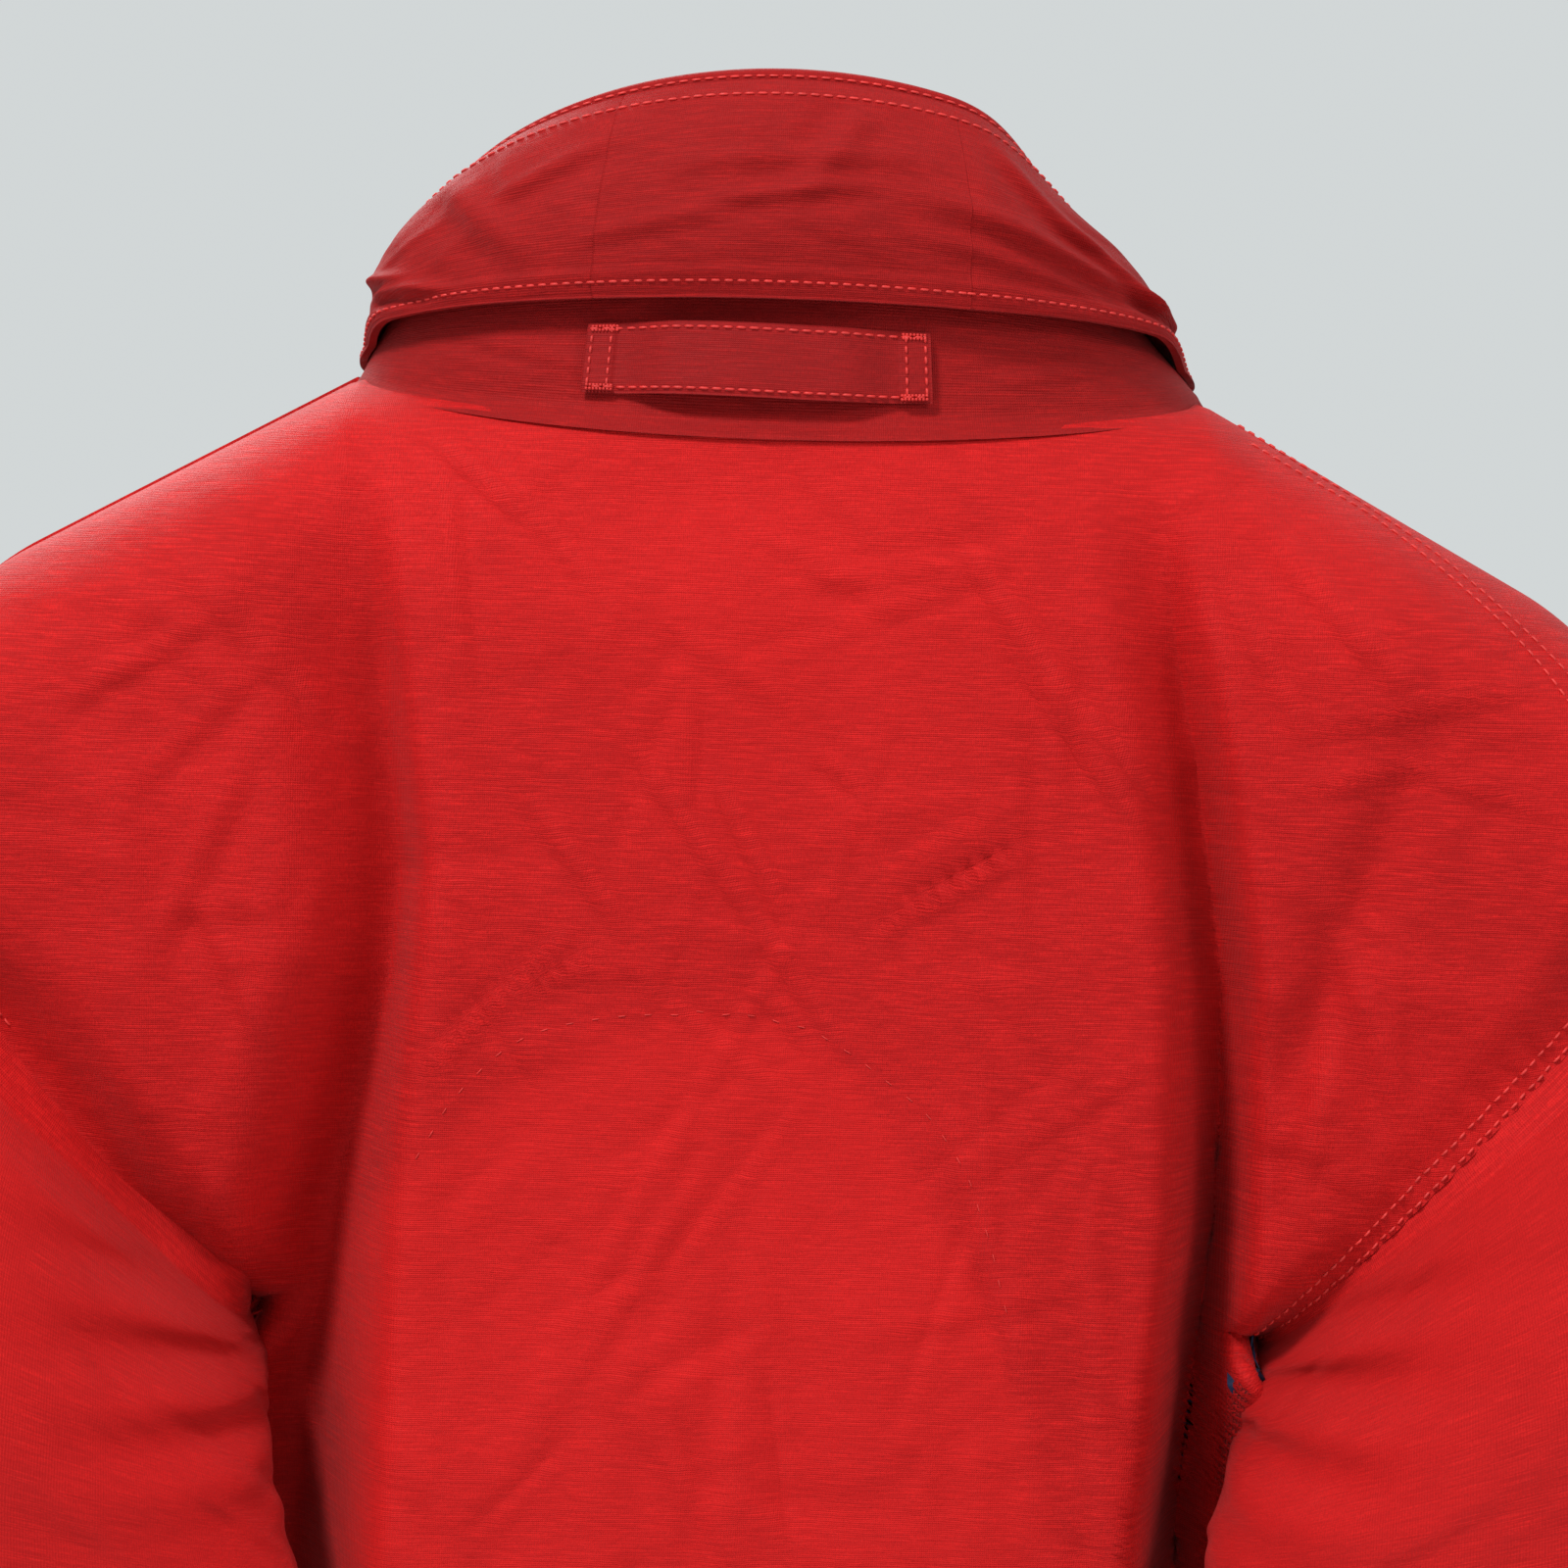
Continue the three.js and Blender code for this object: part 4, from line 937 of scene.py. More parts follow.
def make_cuff(name, side):
    """The cuff band is a crowned ring over the sleeve's foot; its loop patch and tab are strips round part
    of it."""
    body = f"{name}_sleeve"
    turn = np.linspace(0, 2 * math.pi, 160, endpoint=False)[:, None]
    share = np.linspace(0, 1, 22)[None]
    turn, share = np.broadcast_arrays(turn, share)
    proud = 1.1 * np.sin(math.pi * share) ** 0.25
    along = mix(CUFF_START, 1, share)
    outer = sleeve_grid(side, along, turn, CLOTH + 2 * GAP + 0.3 + proud)
    inner = sleeve_grid(side, along, turn, CLOTH + 2 * GAP + 0 * proud)
    uv = np.stack([turn * 0.058, along * 0.598], -1)
    item = shell(f"{name}_cuff_cloth", outer, 1.2, red_cloth, ring=True, inner=inner, uv=uv)
    place(item, body, "red_cloth", [f"{name}_cuff_band"])
    around = np.linspace(0, 2 * math.pi, 400)
    for share_at in (0.09, 0.91):
        level = np.full_like(around, mix(CUFF_START, 1, share_at))
        spots = sleeve_grid(side, level, around, CLOTH + 2 * GAP + 1.35)
        sew(body, spots, spots - sleeve_grid(side, level, around, 0.0))
    middle = (CUFF_START + 1) / 2
    half_tab = 15 / SLEEVE_LONG
    for piece, first, last, low, high, material, slot, rider in (
        ("patch", 0.9, 1.9, 4.6, 6.0, black_tape, "black_tape", body),
        ("tab", 0.75, 2.45, 6.4, 8.0, red_cloth, "red_cloth", f"{name}_cuff_tab"),
    ):
        turn = np.linspace(first, last, 70)[:, None]
        share = np.linspace(-1, 1, 24)[None]
        turn, share = np.broadcast_arrays(turn, share)
        tip = 1 - 0.28 * smooth(0.86, 1, (turn - first) / (last - first)) ** 2 if piece == "tab" else 1.0
        along = middle + half_tab * share * tip
        edge = 1 - 0.35 * np.abs(share) ** 8
        outer = sleeve_grid(side, along, turn, mix(low, high, edge))
        inner = sleeve_grid(side, along, turn, low + 0 * edge)
        item = shell(f"{name}_cuff_{piece}_cloth", outer, high - low, material, inner=inner)
        node = f"{name}_cuff_tab" if piece == "tab" else f"{name}_cuff_loop_patch"
        place(item, rider, slot, [node])
        around = np.linspace(first + 0.05, last - 0.05, 120)
        for edge_at in (-0.85, 0.85):
            level = np.full_like(around, middle + half_tab * edge_at * (0.9 if piece == "tab" else 1))
            spots = sleeve_grid(side, level, around, high + 0.05)
            sew(rider, spots, spots - sleeve_grid(side, level, around, 0.0))


# ---- collar ----
def ring_point(way, half, back, heights, dip):
    """A ring seen from above: a quarter ellipse behind, a flattened one in front, then straight to the
    zip; with its normal."""
    turn = np.clip(way / BACK_SHARE, 0, 1) * math.pi / 2
    rear = np.stack([half * np.sin(turn), back * np.cos(turn), mix(heights[1], heights[0], np.cos(turn))], -1)
    rear_normal = np.stack([back * np.sin(turn), half * np.cos(turn), 0 * turn], -1)
    turn = np.clip((way - BACK_SHARE) / (ROUND_SHARE - BACK_SHARE), 0, 1) * math.pi / 2
    wide = half - FLAT_HALF
    fore = np.stack(
        [
            FLAT_HALF + wide * np.cos(turn), -NECK_FRONT * np.sin(turn),
            mix(heights[1], heights[2], np.sin(turn) ** dip)
        ],
        -1
    )
    fore_normal = np.stack([NECK_FRONT * np.cos(turn), -wide * np.sin(turn), 0 * turn], -1)
    straight = fore.copy()
    straight[..., 0] = mix(FLAT_HALF, FRONT_EDGE, np.clip((way - ROUND_SHARE) / (1 - ROUND_SHARE), 0, 1))
    way = way[..., None]
    spot = np.where(way <= BACK_SHARE, rear, np.where(way <= ROUND_SHARE, fore, straight))
    normal = np.where(way <= BACK_SHARE, rear_normal, fore_normal)
    return spot, normal / np.linalg.norm(normal, axis=-1, keepdims=True)


def collar_point(along, share, outward):
    """Between the neck seam's ring and the top edge's ring at a share of the height, outward clear of the
    wall."""
    along, share, outward = np.broadcast_arrays(along, share, outward)
    way = np.abs(along)
    low, normal = ring_point(way, NECK_HALF, NECK_BACK, (-NECK_BACK_DROP, 0, -NECK_FRONT_DROP), NECK_DIP)
    high, _ = ring_point(way, COLLAR_HALF, COLLAR_BACK, COLLAR_TOP, 1)
    low[..., 2] += NECK_RISE
    spot = mix(low, high, share[..., None]) + normal * outward[..., None]
    spot[..., 0] *= np.where(along < 0, -1, 1)
    spot[..., 0] += COLLAR_PULL * smooth(
        38, 92, -spot[..., 0]
    ) * np.clip(share, 0, 1) ** 1.2 * smooth(-70, 0, spot[..., 1])
    return spot


def along_at(x, half=NECK_HALF):
    """Where along the collar's ring a place across it lies."""
    return math.asin(x / half) / (math.pi / 2) * BACK_SHARE


def wall_relief(along, share):
    """Soft slumps and creases of the collar's cloth, still at its seams."""
    u, v = along * 260, share * COLLAR_HIGH
    total = swell(u, v, 51, 60, 0.35)
    total += crease(u, v, (58, 18), (30, 9), 1.0, 3.0) + crease(u, v, (-62, 17), (-36, 8), 0.9, 3.0)
    total += crease(u, v, (34, 5), (68, 14), 0.8, 2.6)
    return total * smooth(0, 0.1, share) * (1 - smooth(0.86, 0.97, share))


def sew_collar(body, first, last, share, outward, count=240, **words):
    """A row of stitches along the collar's wall at one share of its height."""
    along = np.linspace(first, last, count)
    level, off = share(along) if callable(share) else np.full(count, share), outward
    spots = collar_point(along, level, off(along, level) if callable(off) else np.full(count, off))
    sew(body, spots, spots - collar_point(along, level, np.full(count, -4.0)), **words)


def lift_over_body(grid, clear):
    """Moves the collar's lowest rows out until they lie on the cloth of the body, behind and in front."""
    x, y, z = (grid[..., k] for k in range(3))
    for front, toward in ((False, 1), (True, -1)):
        relief = front_relief if front else back_relief
        under = np.minimum(z, top_z(x, front) - 0.1)
        rest = body_surface(x, under, front) + toward * (relief(x, under) + clear)
        near = smooth(-3.0, 0.5, top_z(x, front) - z) * (toward * y > 0)
        y[...] = np.where(toward * rest > toward * y, mix(y, rest, near), y)


def make_collar():
    """The collar's cloth and lining follow its wall outside and inside, with rows under the top edge."""
    along = np.linspace(-1, 1, 330)[:, None]
    wall = np.linspace(-0.085, 0.975, 56)
    over = np.linspace(0, math.pi, 14)[1:]
    share = np.r_[wall, 0.982 + 0.018 * np.sin(over)]
    outward = np.r_[np.full(56, CLOTH), mix(-COLLAR_PLY, CLOTH, (1 + np.cos(over)) / 2)]
    relief = wall_relief(along, share[None])
    outer = collar_point(along, share[None], outward[None] + relief)
    inner_off = np.r_[np.zeros(56), mix(-COLLAR_PLY + 1, 0, (1 + np.cos(over)) / 2)]
    inner_share = np.r_[wall, 0.972 + 0.01 * np.sin(over)]
    inner = collar_point(along, inner_share[None], inner_off[None] + relief)
    lift_over_body(outer, CLOTH + 1.3)
    lift_over_body(inner, CLOTH + 0.2)
    item = shell("collar_cloth", outer, CLOTH, red_cloth_painted_shade, inner=inner)
    place(item, "torso", "red_cloth", ["collar_band"])
    along = np.linspace(-0.985, 0.985, 240)[:, None]
    share = np.linspace(0.04, 0.955, 40)[None]
    outer = collar_point(along, share, -COLLAR_PLY - 0.2 + 0.5 * np.sin(share * math.pi) + 0 * along)
    inner = collar_point(along, share, -COLLAR_PLY - 1.2 + 0.5 * np.sin(share * math.pi) + 0 * along)
    item = shell("collar_lining_cloth", outer, 1.0, navy_lining, inner=inner)
    place(item, "torso", "navy_lining", ["collar_lining"])


COVER_CREASES = (
    ((70, 78), (44, 40), 1.6, 5.0),
    ((86, 40), (60, 34), 2.2, 3.2),
    ((92, 50), (70, 40), 1.5, 3.4),
    ((52, 60), (30, 72), 0.8, 4.0),
    ((-14, 78), (-2, 52), 1.1, 4.2),
    ((-22, 56), (-76, 44), 1.7, 4.6),
    ((-20, 46), (-64, 38), 0.8, 3.6),
    ((-40, 76), (-66, 52), 1.4, 4.6),
    ((-58, 62), (-84, 40), 1.5, 4.0),
    ((-72, 46), (-98, 38), 1.6, 3.4),
    ((20, 62), (-24, 66), 0.7, 4.0),
    ((12, 52), (-16, 58), 0.9, 3.0),
    ((34, 44), (8, 50), 0.6, 3.6),
)


def cover_rise(along, share):
    """The cover stands off over the rolled hood by a sine down its height, flattens to the sides, and
    carries creases."""
    t = (COVER_TOP - share) / (COVER_TOP - COVER_LOW)
    fade = 1 - smooth(0.3, COVER_END - 0.02, np.abs(along))
    bulge = np.sin(math.pi * np.clip(t * 0.86, 0, 1)) ** 0.8
    total = CLOTH + 0.15 + GAP * t + mix(0.6, 10.0, fade) * bulge
    u, v = along * 260, share * COLLAR_HIGH
    relief = swell(u, v, 61, 48, 0.7)
    for start, end, high, wide in COVER_CREASES:
        relief = relief + crease(u, v, start, end, 1.5 * high, 0.75 * wide)
    relief = relief + scattered(
        u, v, (-110, 110, 32, 84), 40, 63, high=(0.2, 0.55), wide=(2, 4.5), long=(12, 40)
    )
    calm = smooth(0.0, 0.16, t) * (0.35 + 0.65 * (1 - smooth(0.86, 1.0, t)))
    return total + relief * calm


def cover_low(along):
    """The free edge dips a little at the left and lifts at the right, then falls away at both ends."""
    ends = 0.24 * smooth(0.3, COVER_END, np.abs(along))
    return COVER_LOW + 0.02 * smooth(0.1, 0.3, -along) - 0.012 * smooth(0.2, 0.34, along) - ends


def make_cover():
    """The hood cover's three lengths: each hangs over the collar, swelling out and ending in a hem."""
    middle = along_at(HOOD_FLAP_HALF)
    lap = 0.008
    pieces = (
        ("hood_flap_cloth", -middle, middle, 150, "hood_flap", None),
        ("left_hood_cover_cloth", middle + COVER_SPLIT, COVER_END, 110, "torso", 1),
        ("right_hood_cover_cloth", -COVER_END, -middle - COVER_SPLIT, 110, "torso", -1),
    )
    for name, first, last, count, body, side in pieces:
        if side:
            first, last = (middle - lap, last) if side > 0 else (first, -middle + lap)
        along = np.linspace(first, last, count)[:, None]
        t = np.linspace(0, 1, 64)[None]
        share = mix(COVER_TOP, cover_low(along), t)
        rise = cover_rise(along, share)
        hem = 0.9 * smooth(0.86, 0.885, t) * (1 - 0.5 * smooth(0.97, 1, t))
        outer = collar_point(along, share, rise + 0.5 + 1.1 * smooth(0, 0.12, t) + hem)
        inner = collar_point(along, share, rise + 0 * t)
        if side:
            under = 1 - smooth(middle - 0.001, middle + 0.012, np.abs(along)) + 0 * t
            outer = collar_point(along, share, rise + 0.5 + 1.1 * smooth(0, 0.12, t) + hem - 0.25 * under)
        item = shell(name, outer, CLOTH, red_cloth_painted_shade, inner=inner)
        if side:
            node = "left_hood_cover" if side > 0 else "right_hood_cover"
            edge = side * HOOD_FLAP_HALF * 0.001
            blend = ("torso", "hood_flap", (edge + side * 0.038, 0.05, 0.04), (edge, 0.05, 0.04))
            place(item, None, "red_cloth", [node], blend=blend)
        else:
            place(item, "hood_flap", "red_cloth", ["hood_flap"])

        def on_cover(a, s):
            return cover_rise(a, s) + CLOTH + 0.9

        low, high = first + (0.004 if side else 0.002), last - (0.004 if side else 0.002)
        rider = body if not side else "torso"
        sew_collar(rider, low, high, lambda a: cover_low(a) + 0.045, on_cover)
    for share in (0.972,):
        sew_collar("torso", -0.985, 0.985, share, CLOTH + 0.1, count=900)
    sew_collar(
        "torso", -COVER_END + 0.01, COVER_END - 0.01, 0.912, lambda a, s: cover_rise(a, s) + CLOTH,
        count=500
    )


def make_hood():
    """The stowed hood: a flattened roll, a closed ring section of lobes carried round the collar, with
    soft pleats."""
    reach = 0.4
    along = np.linspace(-reach, reach, 190)[:, None]
    turn = np.linspace(0, 2 * math.pi, 64, endpoint=False)[None]
    full = root(1 - (np.abs(along) / (reach + 0.01)) ** 8)
    pleat = 1 + 0.12 * np.sin(3 * turn + 11 * along) + 0.06 * np.cos(along * 190 + 2 * np.sin(turn))
    share = 0.69 + 0.165 * np.cos(turn) * full
    outward = CLOTH + GAP + 3.2 + 0.4 + 3.0 * np.sin(turn) * full * pleat * 0.85
    grid = collar_point(along, share, outward)
    points = grid.reshape(-1, 3)
    count, sides = grid.shape[:2]
    index = np.arange(count * sides).reshape(count, sides)
    loop = np.hstack([index, index[:, :1]])
    quads = np.stack([loop[:-1, :-1], loop[1:, :-1], loop[1:, 1:], loop[:-1, 1:]], -1).reshape(-1, 4)
    caps = np.array([index[0], index[-1][::-1]])
    if volume(points, quads) < 0:
        quads, caps = quads[:, ::-1], caps[:, ::-1]
    uv = arc_uv(grid)
    item = new_object("rolled_hood_cloth", points, [quads, caps], red_cloth_painted_shade, uv, np.zeros(len(points)))
    place(item, "torso", "red_cloth", ["rolled_hood"])
    along = np.linspace(-0.17, 0.17, 110)[:, None]
    share = np.linspace(0.385, 0.487, 14)[None]
    outer = collar_point(along, share, CLOTH + GAP + 1.0 + 0 * along * share)
    item = shell(
        "pouch_tape_cloth", outer, 0.9, black_tape,
        inner=collar_point(along, share, CLOTH + GAP + 0 * along * share)
    )
    place(item, "torso", "black_tape", ["pouch_loop_tape"])


def loop_rise(x):
    """The loop leaves the collar past its sewn ends and stands clear in its middle; its ends are doubled."""
    from_end = LOOP_HALF - np.abs(x - LOOP_MIDDLE)
    bow = 4.2 * smooth(8, 24, from_end)
    doubled = 0.7 * (1 - smooth(6.8, 7.6, from_end))
    return CLOTH + GAP + bow + doubled


def make_loop():
    """The locker loop bows out between its two sewn ends, each turned under and boxed with stitches."""
    x = np.linspace(LOOP_MIDDLE - LOOP_HALF, LOOP_MIDDLE + LOOP_HALF, 190)[:, None]
    along = np.arcsin(x / NECK_HALF) / (math.pi / 2) * BACK_SHARE
    height = np.linspace(0, 19.0, 30)[None]
    wave = 0.5 * np.sin(x / 9.0) * smooth(8, 24, LOOP_HALF - np.abs(x - LOOP_MIDDLE))
    share = 0.03 + (height + 0.3 * np.sin(x / 14.0)) / COLLAR_HIGH
    round_edge = 0.5 * (1 - np.abs(height / 9.5 - 1) ** 10)
    outer = collar_point(along, share, loop_rise(x) + 0.9 + round_edge + wave)
    inner = collar_point(along, share, loop_rise(x) + 0.25 + wave + 0 * height)
    item = shell("locker_loop_cloth", outer, 1.2, red_loop, inner=inner)
    place(item, "torso", "red_webbing", ["locker_loop"])

    def on_loop(xs, heights):
        a = np.arcsin(xs / NECK_HALF) / (math.pi / 2) * BACK_SHARE
        s = 0.03 + (heights + 0.3 * np.sin(xs / 14.0)) / COLLAR_HIGH
        sway = 0.5 * np.sin(xs / 9.0) * smooth(8, 24, LOOP_HALF - np.abs(xs - LOOP_MIDDLE))
        spots = collar_point(a, s, loop_rise(xs) + 1.5 + sway)
        return spots, spots - collar_point(a, s, np.full_like(a, -4.0))

    for height_at in (1.6, 17.4):
        row = np.linspace(LOOP_MIDDLE - LOOP_HALF + 1.4, LOOP_MIDDLE + LOOP_HALF - 1.4, 200)
        sew("torso", *on_loop(row, np.full_like(row, height_at)))
    for end in (-1, 1):
        for inset in (1.4, 6.2):
            row = np.linspace(1.6, 17.4, 60)
            across = np.full_like(row, LOOP_MIDDLE + end * (LOOP_HALF - inset))
            sew("torso", *on_loop(across, row), pitch=2.6)
        for height_at in (1.0, 2.0, 17.0, 18.0):
            row = np.linspace(LOOP_MIDDLE + end * (LOOP_HALF - 1), LOOP_MIDDLE + end * (LOOP_HALF - 7.4), 40)
            sew("torso", *on_loop(row, np.full_like(row, height_at)), pitch=0.9, scale=1.15)


# ---- seams of the body ----
def armhole_row(side, inset, front, body="torso"):
    """A row beside the armhole: the same ellipse on the front or back, inset along the cloth towards the
    neck."""
    turn = np.linspace(0.05, math.pi - 0.05 if front or side < 0 else 1.5, 260)
    down = (1 - np.cos(turn)) / 2
    x = mix(SHOULDER_END[0], UNDERARM[0], down) - inset * (0.75 - 0.2 * down)
    z = mix(SHOULDER_END[1], UNDERARM[1], down) - inset * -0.5
    spots, normals = body_point(side * x, np.minimum(z, top_z(x, front) - 0.5), CLOTH + 0.15, front)
    sew(body, spots, normals)


def make_seams():
    """Stitched rows down the armholes and along the shoulders, and the pin stitches round the arch."""
    for _, side in SIDES:
        for inset in (2.2, 7.6):
            armhole_row(side, inset, False)
            armhole_row(side, inset, True)
    x = np.linspace(NECK_HALF + 3, SHOULDER_END[0] - 4, 200)
    for below in (5, 10.5):
        spots, normals = body_point(x, top_z(x, True) - below, CLOTH + 0.15, True)
        sew("torso", spots, normals)
    sew_body([(-116, -7), (-130, -16), (-145, -25), (-165, -39), (-182, -55), (-198, -72), (-222, -100)])
    sew_body([(-118, -13), (-134, -22), (-150, -31), (-168, -46), (-184, -62), (-198, -80), (-218, -106)])
    arch = [
        (85, -198), (74, -179), (59, -166), (40, -160), (20, -158), (1, -158), (-16, -163), (-28, -171),
        (-43, -183), (-53, -198), (-64, -232)
    ]
    sew_body(arch, pitch=6.5, scale=0.42)


# ---- zip ----
def tooth_chain(name, side):
    """Moulded teeth on one edge of the zip: each a rounded block with a waist, leaning to mesh with the
    other side."""
    pitch, half_high = 3.0, 0.95
    count = int((ZIP_TOP - 6 - (ZIP_FOOT + 13.4)) / pitch)
    z = ZIP_FOOT + 14.2 + pitch * (np.arange(count) + (0 if side > 0 else 0.5))
    profile = np.array(
        [
            (4.0, -0.6), (2.4, -0.62), (1.5, -1.0), (0.62, -0.75), (0.62, 0.75), (1.5, 1.0), (2.4, 0.62),
            (4.0, 0.6)
        ]
    )
    depth = np.array([-81.0, -80.3, -77.9, -77.2])
    pinch = np.array([0.78, 1.0, 1.0, 0.78])
    ring = np.stack(
        [
            np.stack([side * profile[:, 0], np.full(8, y), profile[:, 1] * half_high * p], -1) for y,
            p in zip(depth, pinch)
        ]
    )
    one = ring.reshape(-1, 3)
    index = np.arange(32).reshape(4, 8)
    nxt = np.roll(index, -1, 1)
    quads = np.stack([index[:-1], index[1:], nxt[1:], nxt[:-1]], -1).reshape(-1, 4)
    caps = np.array([index[0], index[-1][::-1]])
    points = one[None] + np.stack([0 * z, 0 * z, z], -1)[:, None]
    shift = (np.arange(count) * 32)[:, None, None]
    all_quads = (quads[None] + shift).reshape(-1, 4)
    item = new_object(
        f"{name}_zip_chain", points, [all_quads, (caps[None] + shift).reshape(-1, 8)], tooth_plastic,
        soft=False
    )
    if volume(points.reshape(-1, 3), all_quads) < 0:
        item.data.flip_normals()
    place(item, "torso", "tooth_plastic", [f"{name}_zip_teeth"])


def flat_cloth(name, low, high, normal_y, material, body, slot, node, across=8, down=160, ripple=0.0):
    """A flat strip across X and down Z between two depths, with a slight ripple."""
    x = np.linspace(low[0], high[0], across)[:, None] + np.zeros((1, down))
    z = np.linspace(high[2], low[2], down)[None] + np.zeros((across, 1))
    wave = ripple * swell(x, z, 71, 60, 1.0)
    front, back = (low[1], high[1]) if normal_y < 0 else (high[1], low[1])
    outer = np.stack([x, front + wave, z], -1)
    inner = np.stack([x, back + wave, z], -1)
    item = shell(name, outer, 1, material, inner=inner)
    place(item, body, slot, [node])
    return item


def make_zip():
    """Tooth chains, tapes and their stitching, and the finish of the zip's solid pieces."""
    for name, side in SIDES:
        tooth_chain(name, side)
        lo, hi = sorted((side * 4.4, side * 21.9))
        flat_cloth(
            f"{name}_zip_tape_cloth", (lo, -79.6, ZIP_FOOT), (hi, -78.4, ZIP_TOP), -1, red_tape, "torso",
            "red_tape", f"{name}_zip_tape"
        )
        x = np.full(400, side * 13.0)
        z = np.linspace(-90, ZIP_FOOT + 20, 400)
        spots, normals = body_point(x, z, CLOTH + 0.12, True)
        sew("torso", spots, normals)
    for node in ("left_zip_top_stop", "right_zip_top_stop", "zip_retainer_box"):
        finish_node(node, tooth_plastic)
    for node in ("zip_slider", "zip_pull"):
        finish_node(node, cast_metal)


def finish_node(node, material):
    """Gives a CAD piece that stays in view its material."""
    for slot_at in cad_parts[node].material_slots:
        slot_at.material = material


def make_flaps():
    """The storm flap: a folded double cloth that rises from its sewn edge and lies over the zip, with a
    stitched border."""
    across = np.array([38.0, 36, 33, 29, 25, 22, 20, 17, 12, 5, -5, -14, -22, -28, -31, -32.6])
    rise = smooth(STORM_HINGE_X, 19.0, across)
    z = np.linspace(STORM_TOP, STORM_FOOT, 190)[None]
    x = across[:, None] + 0 * z
    wave = 0.5 * swell(x, z, 73, 120, 1.0) * smooth(20, -10, x) * 0.6
    base = mix(STORM_Y, -87.2, rise)[:, None]
    thick = (0.5 + 1.5 * smooth(STORM_HINGE_X, 33.5, across))[:, None]
    outer = np.stack([x, base - thick + wave, z + 0 * x], -1)
    inner = np.stack([x, base + wave, z + 0 * x], -1)
    item = shell("storm_flap_cloth", outer, 2, red_cloth, inner=inner)
    place(item, "storm_flap", "red_cloth", ["storm_flap"])
    for x_at, depth in ((-29.5, -89.25), (-23.5, -89.25), (33, -85.3)):
        z_row = np.linspace(-84, -736, 300)
        if x_at > 0:
            depth = mix(-82.0, -87.2, float(smooth(38.0, 19.0, np.array(x_at)))) - 2.1
        sew(
            "storm_flap", np.stack([0 * z_row + x_at, 0 * z_row + depth, z_row], -1),
            np.tile([0, -1.0, 0], (300, 1))
        )
    snap = [(0, 1.5), (2.2, 1.45), (3.0, 1.75), (5.6, 1.6), (6.9, 1.1), (7.5, 0.4), (7.45, 0.0), (0, 0)]
    stud = [(0, 4.6), (2.4, 4.6), (2.6, 4.2), (2.3, 3.0), (2.5, 0.9), (4.7, 0.7), (5.0, 0.0), (0, 0)]
    for k in range(5):
        z_at = mix(-112.0, -712.0, k / 4)
        item = lathe(
            f"storm_snap_cap_metal_{k + 1}", snap, (STORM_SNAP_X, -89.6, z_at), (0, -1, 0), plate_metal
        )
        place(item, "storm_flap", "plate_metal", [f"storm_snap_cap_{k + 1}"])
        item = lathe(
            f"storm_snap_stud_metal_{k + 1}", stud, (STORM_SNAP_X, STORM_Y, z_at), (0, -1, 0), plate_metal,
            30
        )
        place(item, "torso", "plate_metal", [f"storm_snap_stud_{k + 1}"])
    path = [
        (32.1, -79.6), (25.5, -79.4), (24.4, -78.0), (23.8, -74.0), (12, -72.6), (0, -72.6), (-12, -72.6),
        (-21.9, -72.6)
    ]
    route = spline(path, 40)
    z = np.linspace(-82, -758, 120)[None]
    outer = np.stack([route[:, :1] + 0 * z, route[:, 1:] + 1.2 + 0 * z, z + 0 * route[:, :1]], -1)
    inner = np.stack([route[:, :1] + 0 * z, route[:, 1:] + 0 * z, z + 0 * route[:, :1]], -1)
    item = shell("wind_flap_cloth", outer, 1.2, red_cloth, inner=inner)
    place(item, "torso", "red_cloth", ["inner_wind_flap"])


# ---- pockets ----
def on_front(side, points):
    """From a pocket's own frame (along the cloth, out of it, up) to the jacket's, by a turn about Z and a
    shift."""
    turn = side * math.atan(FRONT_SLOPE)
    c, s = math.cos(turn), math.sin(turn)
    moved = points @ np.array([[c, s, 0], [-s, c, 0], [0, 0, 1.0]])
    return moved + [side * POCKET_X, float(front_depth(POCKET_X)), POCKET_TOP]


